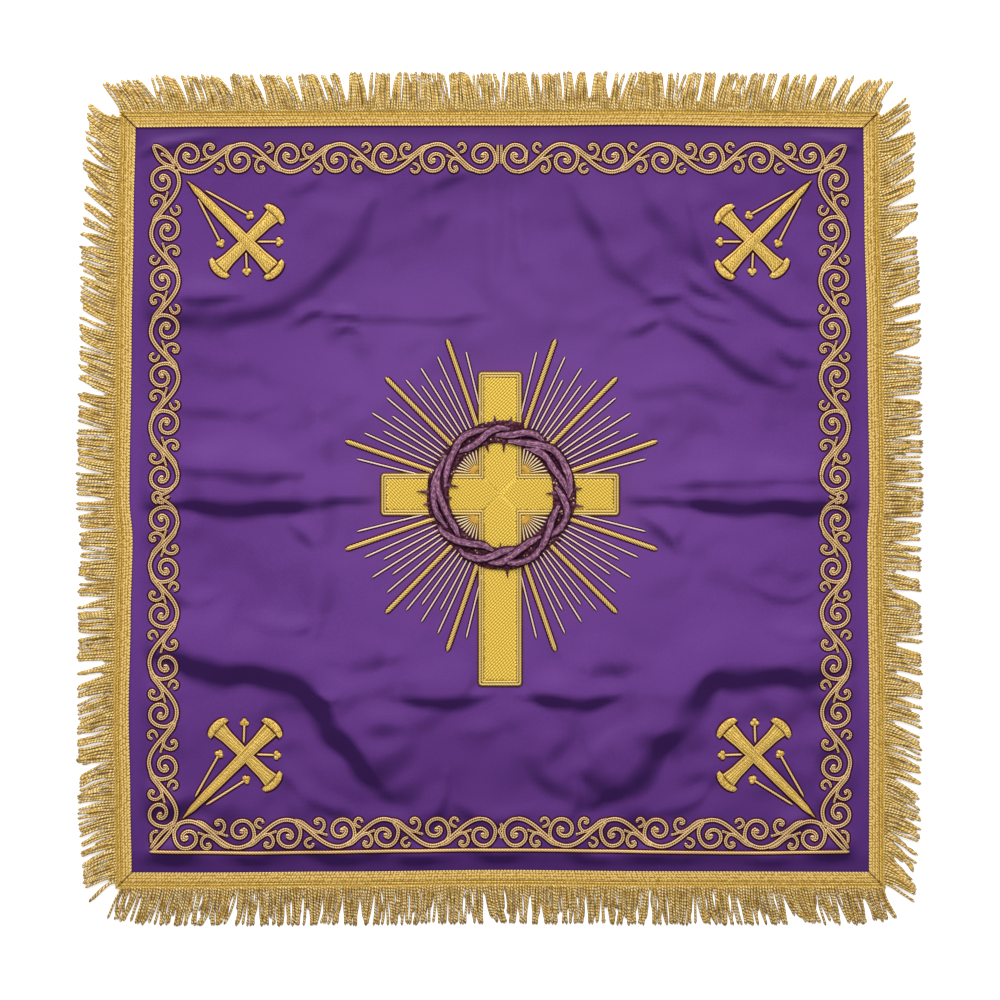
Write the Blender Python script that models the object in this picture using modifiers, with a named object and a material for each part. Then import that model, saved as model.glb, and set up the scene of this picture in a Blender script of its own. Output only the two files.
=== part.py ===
"""Chalice veil: a square of purple satin laid out flat, edged with gold braid and a fanned
cord fringe, and worked with a cross, a crown of thorns, rays, crossed nails and a scroll border.

Units are metres. X runs to the right and Y up the cloth as it is seen from above; Z is up and the
cloth lies on z = 0. "Out" is the distance outward from the visible edge of the satin.
"""

import math

import bmesh
import bpy
from mathutils import Vector
from mathutils.bvhtree import BVHTree

MM = 0.001

# Overall size, over the tips of the fringe
OVERALL_WIDTH = 600 * MM
OVERALL_DEPTH = 605.6 * MM

# Cloth
CLOTH_THICKNESS = 1.2 * MM
CLOTH_UNDER_BRAID = 6.0 * MM
GRID_STEP = 18.5 * MM
LEAST_LINE_GAP = 3.7 * MM
HEM_LINE_INSIDE = 2.0 * MM
CREASE_LINE_OFFSETS = (-7 * MM, 0.0, 7 * MM)
EDGE_FADE = 16 * MM
FOLD_BLEND_POWER = 3

# Braid and fringe heading
CLEARANCE = 0.3 * MM
BRAID_WIDTH = 7.2 * MM
BRAID_THICKNESS = 1.1 * MM
BRAID_CROWN = 0.25 * MM
HEADING_OUTER = 12.4 * MM
HEADING_BASE = 0.1 * MM
HEADING_TOP = 1.2 * MM
MITRE_SETBACK = 0.25 * MM
EDGE_STATIONS = 20

# Fringe locks
LOCKS_A_SIDE = 75
LOCK_ROOT_OUT = 10.0 * MM
LOCK_SEAT_OUT = 17.0 * MM
LOCK_WIDTH = 5.2 * MM
LOCK_TIP_WIDTH = 3.9 * MM
LOCK_HEIGHT = 1.9 * MM
LOCK_TIP_HEIGHT = 1.6 * MM
LOCK_ROOT_BOTTOM = 0.3 * MM
LOCK_ROOT_TOP = 0.6 * MM
LOCK_LENGTH = 29.5 * MM
LOCK_LENGTH_SPREAD = 0.9 * MM
LOCK_LENGTH_PHASE = 2.4
LOCK_CORNER_SETBACK = 3.5 * MM
LOCK_ROOT_LEAN_SHARE = 0.6
GAP_LEAN = math.radians(5.0)
GAP_REACH = 12 * MM

# Embroidery
EMBROIDERY_CLEARANCE = 0.35 * MM
SAMPLE_REACH = 4 * MM
SAMPLE_STEPS = (-1.0, -0.5, 0.0, 0.5, 1.0)
RIBBON_TOP_SHARE = 0.7
CROSS_CENTRE = (0.4 * MM, 2.9 * MM)
CROSS_ARM_WIDTH = 30 * MM
CROSS_BAR_HEIGHT = 29 * MM
CROSS_TOP = 89.0 * MM
CROSS_FOOT = -132.1 * MM
CROSS_HALF_SPAN = 83.8 * MM
CROSS_THICKNESS = 1.0 * MM
CROSS_BEVEL = 0.3 * MM
CROWN_CENTRE = (1.3 * MM, 2.3 * MM)
CROWN_INNER = 38.6 * MM
CROWN_OUTER = 51.6 * MM
CROWN_THICKNESS = 2.0 * MM
CROWN_SHOULDER = 1.2 * MM
CROWN_RIDGE = 3.6 * MM
CROWN_RELIEF = 0.45 * MM
CROWN_STATIONS = 72
CROWN_TWISTS = 9
THORNS_DEG = ((8, True), (30, False), (34, True), (56, True), (60, False), (82, True))
THORN_LENGTH = 5.0 * MM
THORN_HALF_ANGLE = math.radians(1.6)
THORN_CLEAR_ANGLE = math.radians(2.4)
RAY_ANGLES_DEG = (19.2, 44.5, 70.8)
RAY_START = 52.4 * MM
RAY_TIP = 116.5 * MM
RAY_PROFILE = ((0.0, 3.0 * MM), (0.33, 3.0 * MM), (0.66, 3.0 * MM), (0.97, 2.8 * MM), (1.0, 1.4 * MM))
RAY_THICKNESS = 1.2 * MM
NAIL_THICKNESS = 1.5 * MM
NAIL_INSET = 0.1 * MM
PIN_WIDTH = 1.4 * MM
PIN_THICKNESS = 0.9 * MM
PIN_POINT_WIDTH = 0.9 * MM
PIN_HEAD_PROFILE_MM = ((-2.4, 1.4), (-2.0, 7.0), (0.4, 6.8), (2.3, 3.0))
SCROLL_WIDTH = 2.8 * MM
SCROLL_THICKNESS = 1.0 * MM
SCROLL_STEP = 6.9 * MM
BORDER_CORD_HALF_LENGTH = 245 * MM
BORDER_CORD_Y = -251 * MM
BORDER_RISE = 2.6 * MM
BORDER_RISE_REACH = 250 * MM
BORDER_CORD_STATIONS = 25

# Colour, roughness and metallic value of each material
MATERIALS = {
    "satin": ((0.13, 0.044, 0.25), 0.42, 0.0),
    "gold_braid": ((0.62, 0.36, 0.06), 0.45, 0.4),
    "gold_fringe": ((0.50, 0.29, 0.05), 0.5, 0.35),
    "gold_thread": ((0.75, 0.46, 0.08), 0.42, 0.4),
    "mauve_thread": ((0.25, 0.10, 0.25), 0.5, 0.0),
}

# The visible edge of the satin, side by side, each from its left or lower corner (x, y in mm)
SATIN_EDGE_MM = {
    "top": ((-256.9, 262.0), (-197, 262.6), (-85, 263.2), (28, 263.3), (99, 263.9), (197, 262.8),
            (256.9, 262.0)),
    "bottom": ((-259.7, -264.0), (-212, -264.0), (-113, -263.0), (0, -261.1), (113, -262.5), (260.8, -263.6)),
    "left": ((-259.7, -264.0), (-260.6, -213), (-261.8, -150), (-260.4, -86), (-259.0, -29), (-261.2, 0),
             (-259.7, 112), (-258.3, 197), (-256.9, 262.0)),
    "right": ((260.8, -263.6), (261.1, -150), (259.9, -57), (259.7, -29), (261.1, 0), (259.7, 112),
              (257.6, 197), (256.9, 262.0)),
}
OUTWARD = {"top": (0, 1), "bottom": (0, -1), "left": (-1, 0), "right": (1, 0)}
ALONG = {"top": (1, 0), "bottom": (1, 0), "left": (0, 1), "right": (0, 1)}

# How far the fringe leans along each side: (share of the side, lean in degrees), positive to the
# right or up
FRINGE_LEAN = {
    "top": ((0, -38), (0.08, -30), (0.2, -23), (0.35, -12), (0.5, -3), (0.62, 2), (0.75, 14),
            (0.88, 27), (1, 42)),
    "bottom": ((0, -42), (0.06, -28), (0.14, -12), (0.3, -6), (0.5, 0), (0.7, 5), (0.86, 12),
               (0.94, 26), (1, 42)),
    "left": ((0, -46), (0.07, -30), (0.2, -20), (0.4, -10), (0.55, 2), (0.7, 12), (0.85, 22), (1, 36)),
    "right": ((0, -44), (0.06, -26), (0.2, -14), (0.4, -6), (0.55, 3), (0.7, 13), (0.85, 24), (1, 38)),
}

# Where the fringe parts into gaps, as distances along each side from the cloth's middle (mm)
FRINGE_GAPS_MM = {
    "top": (-243, -189, -138, -106, -90, -38, 34, 54, 77, 124, 154, 200, 226, 250),
    "bottom": (-255, -205, -170, -148, 29, 45, 69, 108, 148, 190, 240),
    "left": (-238, -205, -170, -110, -60, -10, 48, 96, 133, 172, 210, 240),
    "right": (-240, -196, -150, -104, -52, 4, 56, 100, 148, 186, 222, 246),
}

# Folds of the laid cloth as soft ridges. Columns: name, height, width of the flank on the left of the
# line, width of the flank on its right, then the line's points (mm)
FOLDS_MM = (
    ("middle crease, left half", 2.6, 20, 10, ((-262, 1), (-200, 1.5), (-140, 1), (-104, 0))),
    ("middle crease, right half", 2.6, 18, 10, ((104, 0), (140, 1), (200, 0), (262, -1))),
    ("upper left diagonal", 2.8, 15, 11, ((-255, 130), (-192, 130), (-157, 143), (-93, 208))),
    ("upper crease", 1.5, 14, 10, ((-105, 131), (-20, 130))),
    ("upper right diagonal", 2.6, 11, 14, ((127, 226), (142, 192), (162, 156), (193, 134), (230, 126))),
    ("upper right wrinkle", 1.6, 10, 10, ((46, 218), (70, 181), (93, 151))),
    ("right cluster, long", 1.9, 12, 9, ((100, 118), (145, 113), (190, 81), (221, 73))),
    ("lower left curve", 3.0, 15, 11,
     ((-236, -119), (-198, -123), (-147, -132), (-129, -147), (-112, -175), (-81, -216))),
    ("lower right curve", 3.0, 11, 15,
     ((80, -210), (103, -189), (131, -154), (147, -129), (175, -126), (235, -129))),
    ("lower crease, left", 1.4, 10, 8, ((-66, -146), (-16, -143))),
    ("lower crease, right", 1.4, 10, 8, ((22, -145), (72, -147))),
)
CREASE_ROWS_Y = (1 * MM, 130 * MM, -132 * MM)
CREASE_COLUMNS_X = (-132 * MM, 132 * MM)

# The crossed nails in each corner (mm): the long nail's tip and head, and the heads of the short bar,
# then both outlines as (share of the length, width in mm)
NAILS_MM = {
    "top_left": {"tip": (-220.3, 223.9), "head": (-159.4, 161.7),
                 "bar": ((-197.5, 162.9), (-159.1, 200.6))},
    "top_right": {"tip": (220.2, 224.4), "head": (159.4, 161.7),
                  "bar": ((197.5, 162.9), (159.1, 200.6))},
    "bottom_left": {"tip": (-223.5, -225.7), "head": (-160.8, -162.4),
                    "bar": ((-198.7, -162.4), (-160.8, -199.6))},
    "bottom_right": {"tip": (222.8, -225.2), "head": (160.8, -162.4),
                     "bar": ((198.7, -162.4), (160.8, -199.6))},
}
LONG_NAIL_PROFILE = (
    (0.0, 0.8), (0.13, 4.4), (0.29, 5.9), (0.45, 6.7), (0.66, 7.6), (0.82, 8.8), (0.93, 11.2),
    (0.94, 19.5), (1.0, 17.5), (1.055, 8.0),
)
SHORT_BAR_PROFILE = (
    (-0.09, 8.0), (-0.02, 17.5), (0.03, 19.5), (0.04, 11.2), (0.2, 8.8), (0.5, 7.6),
    (0.8, 8.8), (0.96, 11.2), (0.97, 19.5), (1.04, 17.5), (1.12, 8.0),
)

# Small pins round each pair of nails (mm): point, then head
PINS_MM = {
    "top_left": (((-212.7, 211.4), (-197.0, 180.6)), ((-207.4, 217.3), (-176.5, 200.1)),
                 ((-170.8, 181.3), (-155.9, 181.3)), ((-179.0, 173.4), (-178.4, 160.8))),
    "top_right": (((212.7, 211.4), (197.0, 180.6)), ((207.4, 217.3), (176.5, 200.1)),
                  ((170.8, 181.3), (155.9, 181.3)), ((179.0, 173.4), (178.4, 160.8))),
    "bottom_left": (((-214.8, -210.5), (-198.1, -180.8)), ((-207.0, -216.2), (-179.1, -198.7)),
                    ((-171.2, -180.8), (-157.5, -181.3)), ((-180.6, -172.4), (-180.2, -158.7))),
    "bottom_right": (((214.8, -210.5), (198.1, -180.8)), ((207.0, -216.2), (179.1, -198.7)),
                     ((171.2, -180.8), (157.5, -181.3)), ((180.6, -172.4), (180.2, -158.7))),
}

# The scroll border on each side (mm): its centre line's place at the middle of the side and its slope,
# how far the stem swings to each side of that line, half a wave, then for each half how far it runs out
# from the middle and where its first extreme lies
SCROLLS_MM = {
    "top": {"centre": 240.5, "slope": 0.0, "swing": 9.8, "half_wave": 34.3,
            "low": (222, 12.9), "high": (222, 12.9)},
    "bottom": {"centre": -238.2, "slope": 0.0, "swing": 9.6, "half_wave": 34.5,
               "low": (222, 12.9), "high": (222, 12.9)},
    "left": {"centre": -237.0, "slope": 0.0042, "swing": 9.8, "half_wave": 34.5,
             "low": (217, 13.3), "high": (219, 17.3)},
    "right": {"centre": 237.0, "slope": -0.0042, "swing": 9.8, "half_wave": 34.5,
              "low": (217, 13.3), "high": (219, 17.3)},
}


def clear_scene():
    """Removes every object that the new file started with."""
    for obj in list(bpy.data.objects):
        bpy.data.objects.remove(obj, do_unlink=True)


def make_material(name):
    colour, roughness, metallic = MATERIALS[name]
    material = bpy.data.materials.new(name)
    material.use_nodes = True
    shader = material.node_tree.nodes["Principled BSDF"]
    shader.inputs["Base Color"].default_value = (*colour, 1.0)
    shader.inputs["Roughness"].default_value = roughness
    shader.inputs["Metallic"].default_value = metallic
    return material


def add_object(name, bm, material, collection, closed=True):
    """Turns a bmesh into a named object; a closed one gets its faces pointing out."""
    if closed:
        bmesh.ops.recalc_face_normals(bm, faces=bm.faces)
    mesh = bpy.data.meshes.new(name)
    bm.to_mesh(mesh)
    bm.free()
    mesh.materials.append(material)
    obj = bpy.data.objects.new(name, mesh)
    collection.objects.link(obj)
    return obj


def blend_table(table, at):
    """Reads a table of (position, value) rows at a position, easing between the rows."""
    if at <= table[0][0]:
        return table[0][1]
    for (a, va), (b, vb) in zip(table, table[1:]):
        if at <= b:
            share = (at - a) / (b - a)
            share = share * share * (3 - 2 * share)
            return va + (vb - va) * share
    return table[-1][1]


def edge_point(side, share, out):
    """A point beside the satin's visible edge. Ends are mitred, so at share 0 and 1 it lies on the corner's
    diagonal."""
    axis = 0 if ALONG[side][0] else 1
    rows = SATIN_EDGE_MM[side]
    first, last = rows[0][axis] * MM, rows[-1][axis] * MM
    along = first + (last - first) * share
    table = [(p[axis] * MM, p[1 - axis] * MM) for p in rows]
    across = blend_table(table, along)
    spread = (2 * share - 1) * out
    outward = OUTWARD[side][1 - axis] * out
    return (along + spread, across + outward) if axis == 0 else (across + outward, along + spread)


def side_length(side):
    """Length of one side of the visible satin, from corner to corner."""
    rows = SATIN_EDGE_MM[side]
    return math.dist(rows[0], rows[-1]) * MM


def fold_height(x, y):
    """Height of the cloth's underside above the table."""
    total = 0.0
    for _name, height, left_flank, right_flank, line in FOLDS_MM:
        nearest, side_sign = None, 1.0
        for (ax, ay), (bx, by) in zip(line, line[1:]):
            ax, ay, bx, by = ax * MM, ay * MM, bx * MM, by * MM
            dx, dy = bx - ax, by - ay
            along = ((x - ax) * dx + (y - ay) * dy) / (dx * dx + dy * dy)
            along = min(1.0, max(0.0, along))
            distance = math.hypot(x - ax - along * dx, y - ay - along * dy)
            if nearest is None or distance < nearest:
                nearest = distance
                side_sign = dx * (y - ay) - dy * (x - ax)
        flank = (left_flank if side_sign > 0 else right_flank) * MM
        if nearest < flank:
            ridge = height * MM * 0.5 * (1 + math.cos(math.pi * nearest / flank))
            total += ridge ** FOLD_BLEND_POWER
    return total ** (1 / FOLD_BLEND_POWER) * edge_fade(x, y)


def edge_fade(x, y):
    """Falls from 1 inside the cloth to 0 at the hem, which lies flat."""
    half_width = SATIN_EDGE_MM["top"][-1][0] * MM
    half_depth = SATIN_EDGE_MM["top"][-1][1] * MM
    inside = min(half_width - abs(x), half_depth - abs(y))
    share = min(1.0, max(0.0, inside / EDGE_FADE))
    return share * share * (3 - 2 * share)


def grid_lines(side, creases):
    """Shares from 0 to 1 along one side of the cloth: even lines, and closer ones at each crease."""
    length = side_length(side) + 2 * CLOTH_UNDER_BRAID
    count = round(length / GRID_STEP)
    hem = (CLOTH_UNDER_BRAID + HEM_LINE_INSIDE) / length
    lines = [i / count for i in range(count + 1)] + [hem, 1 - hem]
    for crease in creases:
        for offset in CREASE_LINE_OFFSETS:
            share = (crease + offset) / length + 0.5
            lines = [v for v in lines if abs(v - share) * length > LEAST_LINE_GAP or v in (0.0, 1.0)]
            lines.append(share)
    return sorted(lines)


def cloth_point(across, up):
    """A point of the cloth, from its shares across and up, on the outline that bows like the real hem."""
    left = edge_point("left", up, CLOTH_UNDER_BRAID)
    right = edge_point("right", up, CLOTH_UNDER_BRAID)
    bottom = edge_point("bottom", across, CLOTH_UNDER_BRAID)
    top = edge_point("top", across, CLOTH_UNDER_BRAID)
    x = left[0] + (right[0] - left[0]) * across
    y = bottom[1] + (top[1] - bottom[1]) * up
    return x, y


def build_panel(collection, material):
    """The satin panel: a grid on the cloth's folds, thickened upward."""
    columns = grid_lines("top", CREASE_COLUMNS_X)
    rows = grid_lines("left", CREASE_ROWS_Y)
    bm = bmesh.new()
    bmesh.ops.create_grid(bm, x_segments=len(columns) - 1, y_segments=len(rows) - 1, size=0.5)
    for vert in bm.verts:
        column = round((vert.co.x + 0.5) * (len(columns) - 1))
        row = round((vert.co.y + 0.5) * (len(rows) - 1))
        x, y = cloth_point(columns[column], rows[row])
        vert.co = (x, y, fold_height(x, y))
    panel = add_object("satin_panel", bm, material, collection, closed=False)
    thicken = panel.modifiers.new("cloth thickness", "SOLIDIFY")
    thicken.thickness = CLOTH_THICKNESS
    thicken.offset = 1.0
    return panel


def loft(bm, rings, closed=False):
    """Joins rings of points, each with the same number of points, into one closed skin."""
    made = [[bm.verts.new(point) for point in ring] for ring in rings]
    count = len(made[0])
    pairs = list(zip(made, made[1:]))
    if closed:
        pairs.append((made[-1], made[0]))
    for first, second in pairs:
        for i in range(count):
            j = (i + 1) % count
            bm.faces.new((first[i], first[j], second[j], second[i]))
    if not closed:
        bm.faces.new(made[0])
        bm.faces.new(made[-1])


def surfaces_of(objects):
    """Search trees of the finished shapes that later pieces lie on."""
    graph = bpy.context.evaluated_depsgraph_get()
    return [BVHTree.FromObject(obj, graph) for obj in objects]


def rest_height(surfaces, x, y, reach=SAMPLE_REACH):
    """The highest point of what lies below, within a square round the place."""
    highest = 0.0
    for across in SAMPLE_STEPS:
        for up in SAMPLE_STEPS:
            for surface in surfaces:
                above = Vector((x + across * reach, y + up * reach, 1.0))
                hit = surface.ray_cast(above, Vector((0, 0, -1)))[0]
                if hit is not None:
                    highest = max(highest, hit.z)
    return highest


def ribbon_rings(surfaces, stations, thickness, lift=0.0, corners=4):
    """Rings of a raised ribbon. A station is (x, y, width); the ribbon lies just above what is below it."""
    rings = []
    for i, (x, y, width) in enumerate(stations):
        before = stations[max(0, i - 1)]
        after = stations[min(len(stations) - 1, i + 1)]
        direction = Vector((after[0] - before[0], after[1] - before[1])).normalized()
        side = Vector((-direction.y, direction.x)) * width / 2
        reach = max(SAMPLE_REACH, width / 2)
        base = rest_height(surfaces, x, y, reach) + EMBROIDERY_CLEARANCE + lift
        top = base + thickness - 2 * lift
        left = (x + side.x, y + side.y, base)
        right = (x - side.x, y - side.y, base)
        if corners == 3:
            rings.append((right, left, (x, y, top)))
        else:
            inner = side * RIBBON_TOP_SHARE
            rings.append((right, left, (x + inner.x, y + inner.y, top), (x - inner.x, y - inner.y, top)))
    return rings


def line_stations(start, end, profile):
    """Stations along a straight run, from rows of (share of the length, width)."""
    return [
        (start[0] + (end[0] - start[0]) * share, start[1] + (end[1] - start[1]) * share, width)
        for share, width in profile
    ]


def build_braid(side, collection, material):
    """One mitred length of braid, lying over the seam between the satin and the fringe heading."""
    setback = MITRE_SETBACK / side_length(side)
    base = CLOTH_THICKNESS + CLEARANCE
    top = base + BRAID_THICKNESS
    rings = []
    for i in range(EDGE_STATIONS + 1):
        share = setback + (1 - 2 * setback) * i / EDGE_STATIONS
        inner = edge_point(side, share, 0.0)
        middle = edge_point(side, share, BRAID_WIDTH / 2)
        outer = edge_point(side, share, BRAID_WIDTH)
        rings.append(((*inner, base), (*outer, base), (*outer, top - BRAID_CROWN), (*middle, top),
                      (*inner, top - BRAID_CROWN)))
    bm = bmesh.new()
    loft(bm, rings)
    return add_object(f"braid_{side}", bm, material, collection)


def lock_lean(side, share):
    """Lean of one lock: the side's fan, and more on each side of a gap."""
    lean = math.radians(blend_table(FRINGE_LEAN[side], share))
    rows = SATIN_EDGE_MM[side]
    axis = 0 if ALONG[side][0] else 1
    along = rows[0][axis] + (rows[-1][axis] - rows[0][axis]) * share
    for gap in FRINGE_GAPS_MM[side]:
        offset = (along - gap) * MM
        lean += math.copysign(GAP_LEAN, offset) * math.exp(-abs(offset) / GAP_REACH)
    return lean


def lock_rings(side, index):
    """Rings of one lock of the fringe: a three-sided strand whose base lies level on the table."""
    share = (index + 0.5) / LOCKS_A_SIDE
    lean = lock_lean(side, share)
    along, outward = Vector(ALONG[side]), Vector(OUTWARD[side])
    root = Vector(edge_point(side, share, LOCK_ROOT_OUT))
    root -= along * (2 * share - 1) * LOCK_CORNER_SETBACK
    seat_direction = (outward + along * math.tan(lean * LOCK_ROOT_LEAN_SHARE)).normalized()
    tip_direction = (outward * math.cos(lean) + along * math.sin(lean)).normalized()
    seat = root + seat_direction * (LOCK_SEAT_OUT - LOCK_ROOT_OUT)
    unevenness = LOCK_LENGTH_SPREAD * math.sin(index * LOCK_LENGTH_PHASE)
    tip = seat + tip_direction * (LOCK_LENGTH - (LOCK_SEAT_OUT - LOCK_ROOT_OUT) + unevenness)
    reach = Vector((OVERALL_WIDTH / 2, OVERALL_DEPTH / 2))
    axis = 0 if OUTWARD[side][0] else 1
    tip_corner = abs(tip_direction[1 - axis]) * LOCK_TIP_WIDTH / 2
    over = abs(tip[axis]) + tip_corner - reach[axis]
    if over > 0:
        tip -= tip_direction * over / abs(tip_direction[axis])
    rings = []
    rows = (
        (root, outward, LOCK_WIDTH, LOCK_ROOT_BOTTOM, LOCK_ROOT_TOP),
        (seat, seat_direction, LOCK_WIDTH, 0.0, LOCK_HEIGHT),
        (tip, tip_direction, LOCK_TIP_WIDTH, 0.0, LOCK_TIP_HEIGHT),
    )
    for place, direction, width, bottom, top in rows:
        half = Vector((-direction.y, direction.x)) * width / 2
        rings.append((
            (place.x + half.x, place.y + half.y, bottom),
            (place.x - half.x, place.y - half.y, bottom),
            (place.x, place.y, top),
        ))
    return rings


def build_fringe(side, collection, cutters, material):
    """The heading strip of one side with its locks fused to it."""
    setback = MITRE_SETBACK / side_length(side)
    rings = []
    for i in range(EDGE_STATIONS + 1):
        share = setback + (1 - 2 * setback) * i / EDGE_STATIONS
        inner = edge_point(side, share, CLOTH_UNDER_BRAID + CLEARANCE)
        outer = edge_point(side, share, HEADING_OUTER)
        rings.append(((*inner, HEADING_BASE), (*outer, HEADING_BASE),
                      (*outer, HEADING_TOP), (*inner, HEADING_TOP)))
    bm = bmesh.new()
    loft(bm, rings)
    fringe = add_object(f"fringe_{side}", bm, material, collection)
    bm = bmesh.new()
    for index in range(LOCKS_A_SIDE):
        loft(bm, lock_rings(side, index))
    locks = add_object(f"locks_{side}", bm, material, cutters)
    join_solids(fringe, locks)
    return fringe


def join_solids(target, other):
    """Fuses another solid into the target; the other one is only a guide."""
    other.hide_render = True
    other.display_type = "WIRE"
    union = target.modifiers.new("join", "BOOLEAN")
    union.operation = "UNION"
    union.solver = "EXACT"
    union.object = other


def build_cross(collection, surfaces, material):
    """The Latin cross: a flat outline with a small bevel."""
    cx, cy = CROSS_CENTRE
    arm, bar = CROSS_ARM_WIDTH / 2, CROSS_BAR_HEIGHT / 2
    left, right = cx - CROSS_HALF_SPAN, cx + CROSS_HALF_SPAN
    low, high = cy - bar, cy + bar
    outline = (
        (cx - arm, CROSS_TOP), (cx - arm, high), (left, high),
        (left, low), (cx - arm, low), (cx - arm, CROSS_FOOT),
        (cx + arm, CROSS_FOOT), (cx + arm, low), (right, low),
        (right, high), (cx + arm, high), (cx + arm, CROSS_TOP),
    )
    base = max(rest_height(surfaces, x, y) for x, y in outline) + EMBROIDERY_CLEARANCE
    bm = bmesh.new()
    verts = [bm.verts.new((x, y, base)) for x, y in outline]
    face = bm.faces.new(verts)
    raised = bmesh.ops.extrude_face_region(bm, geom=[face])
    top = [item for item in raised["geom"] if isinstance(item, bmesh.types.BMVert)]
    bmesh.ops.translate(bm, verts=top, vec=(0, 0, CROSS_THICKNESS))
    cross = add_object("cross", bm, material, collection)
    bevel = cross.modifiers.new("soft edge", "BEVEL")
    bevel.width = CROSS_BEVEL
    bevel.segments = 1
    bevel.limit_method = "ANGLE"
    return cross


def crown_stations():
    """Angles round the crown with how far a thorn stands out there, outward and inward."""
    rows = [(i * math.tau / CROWN_STATIONS, 0.0, 0.0) for i in range(CROWN_STATIONS)]
    for quadrant in range(4):
        for turn_deg, outward in THORNS_DEG:
            angle = quadrant * math.pi / 2 + math.radians(turn_deg)
            rows = [row for row in rows if abs(row[0] - angle) > THORN_CLEAR_ANGLE]
            rows.append((angle - THORN_HALF_ANGLE, 0.0, 0.0))
            rows.append((angle, THORN_LENGTH if outward else 0.0, 0.0 if outward else THORN_LENGTH))
            rows.append((angle + THORN_HALF_ANGLE, 0.0, 0.0))
    return sorted(rows)


def build_crown(collection, surfaces, material):
    """The crown of thorns: a ring with the relief of twisted stems and spikes at both edges."""
    rings = []
    for angle, spike_out, spike_in in crown_stations():
        direction = (math.sin(angle), math.cos(angle))
        radii = (
            CROWN_INNER - spike_in,
            CROWN_OUTER + spike_out,
            CROWN_OUTER - CROWN_SHOULDER,
            CROWN_OUTER - CROWN_RIDGE,
            (CROWN_INNER + CROWN_OUTER) / 2,
            CROWN_INNER + CROWN_RIDGE,
            CROWN_INNER + CROWN_SHOULDER,
        )
        places = [(CROWN_CENTRE[0] + r * direction[0], CROWN_CENTRE[1] + r * direction[1]) for r in radii]
        base = max(rest_height(surfaces, *places[i]) for i in (0, 1, 4)) + EMBROIDERY_CLEARANCE
        ring = [(*places[0], base), (*places[1], base)]
        for i, place in enumerate(places[2:]):
            shoulder = 0.5 if i in (0, 4) else 1.0
            relief = CROWN_RELIEF * math.sin(CROWN_TWISTS * angle + i * math.pi / 2)
            ring.append((*place, base + CROWN_THICKNESS * shoulder + relief * shoulder))
        rings.append(ring)
    bm = bmesh.new()
    loft(bm, rings, closed=True)
    return add_object("crown_of_thorns", bm, material, collection)


def build_rays(collection, surfaces, material):
    """The twelve thick rays of the glory."""
    number = 0
    for quadrant in range(4):
        for angle_deg in RAY_ANGLES_DEG:
            number += 1
            across = 1 if quadrant in (0, 1) else -1
            up = 1 if quadrant in (0, 3) else -1
            direction = (across * math.sin(math.radians(angle_deg)), up * math.cos(math.radians(angle_deg)))
            start, end = ((CROWN_CENTRE[0] + r * direction[0], CROWN_CENTRE[1] + r * direction[1])
                          for r in (RAY_START, RAY_TIP))
            bm = bmesh.new()
            loft(bm, ribbon_rings(surfaces, line_stations(start, end, RAY_PROFILE), RAY_THICKNESS))
            add_object(f"ray_{number:02d}", bm, material, collection)


def build_nails(corner, collection, cutters, surfaces, material):
    """One pair of crossed nails: a long pointed one and a short bar with a head at both ends."""
    rows = NAILS_MM[corner]
    tip = Vector(rows["tip"]) * MM
    head = Vector(rows["head"]) * MM
    long_profile = [(share, width * MM) for share, width in LONG_NAIL_PROFILE]
    bar_profile = [(share, width * MM) for share, width in SHORT_BAR_PROFILE]
    bm = bmesh.new()
    loft(bm, ribbon_rings(surfaces, line_stations(tip, head, long_profile), NAIL_THICKNESS))
    nails = add_object(f"nails_{corner}", bm, material, collection)
    start, end = (Vector(p) * MM for p in rows["bar"])
    bm = bmesh.new()
    loft(bm, ribbon_rings(surfaces, line_stations(start, end, bar_profile), NAIL_THICKNESS, lift=NAIL_INSET))
    bar = add_object(f"nail_bar_{corner}", bm, material, cutters)
    join_solids(nails, bar)


def build_pins(corner, collection, surfaces, material):
    """The four small pins round one pair of nails."""
    for number, (point, head) in enumerate(PINS_MM[corner], start=1):
        start, end = Vector(point) * MM, Vector(head) * MM
        length = (end - start).length
        profile = [(0.0, PIN_POINT_WIDTH), (0.5, PIN_WIDTH)]
        profile += [(1 + past * MM / length, width * MM) for past, width in PIN_HEAD_PROFILE_MM]
        bm = bmesh.new()
        loft(bm, ribbon_rings(surfaces, line_stations(start, end, profile), PIN_THICKNESS))
        add_object(f"pin_{corner}_{number}", bm, material, collection)


def border_rise(along):
    """How far the bottom border bows up towards its middle."""
    return BORDER_RISE * (1 - (along / BORDER_RISE_REACH) ** 2)


def scroll_point(side, along):
    """A point of a scroll's stem, from its distance along the side from the middle."""
    row = SCROLLS_MM[side]
    first = row["high" if along > 0 else "low"][1] * MM
    centre = row["centre"] * MM + row["slope"] * along
    if side == "bottom":
        centre += border_rise(along)
    inward = -math.copysign(row["swing"] * MM, centre)
    across = centre + inward * math.cos(math.pi * (abs(along) - first) / (row["half_wave"] * MM))
    return (along, across) if ALONG[side][0] else (across, along)


def build_scroll(side, collection, surfaces, material):
    """The main stem of the scroll border on one side, which swings from the side's middle to both corners."""
    low_end = -SCROLLS_MM[side]["low"][0] * MM
    high_end = SCROLLS_MM[side]["high"][0] * MM
    count = round((high_end - low_end) / SCROLL_STEP)
    stations = []
    for i in range(count + 1):
        along = low_end + (high_end - low_end) * i / count
        stations.append((*scroll_point(side, along), SCROLL_WIDTH))
    bm = bmesh.new()
    loft(bm, ribbon_rings(surfaces, stations, SCROLL_THICKNESS, corners=3))
    add_object(f"scroll_{side}", bm, material, collection)


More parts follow.
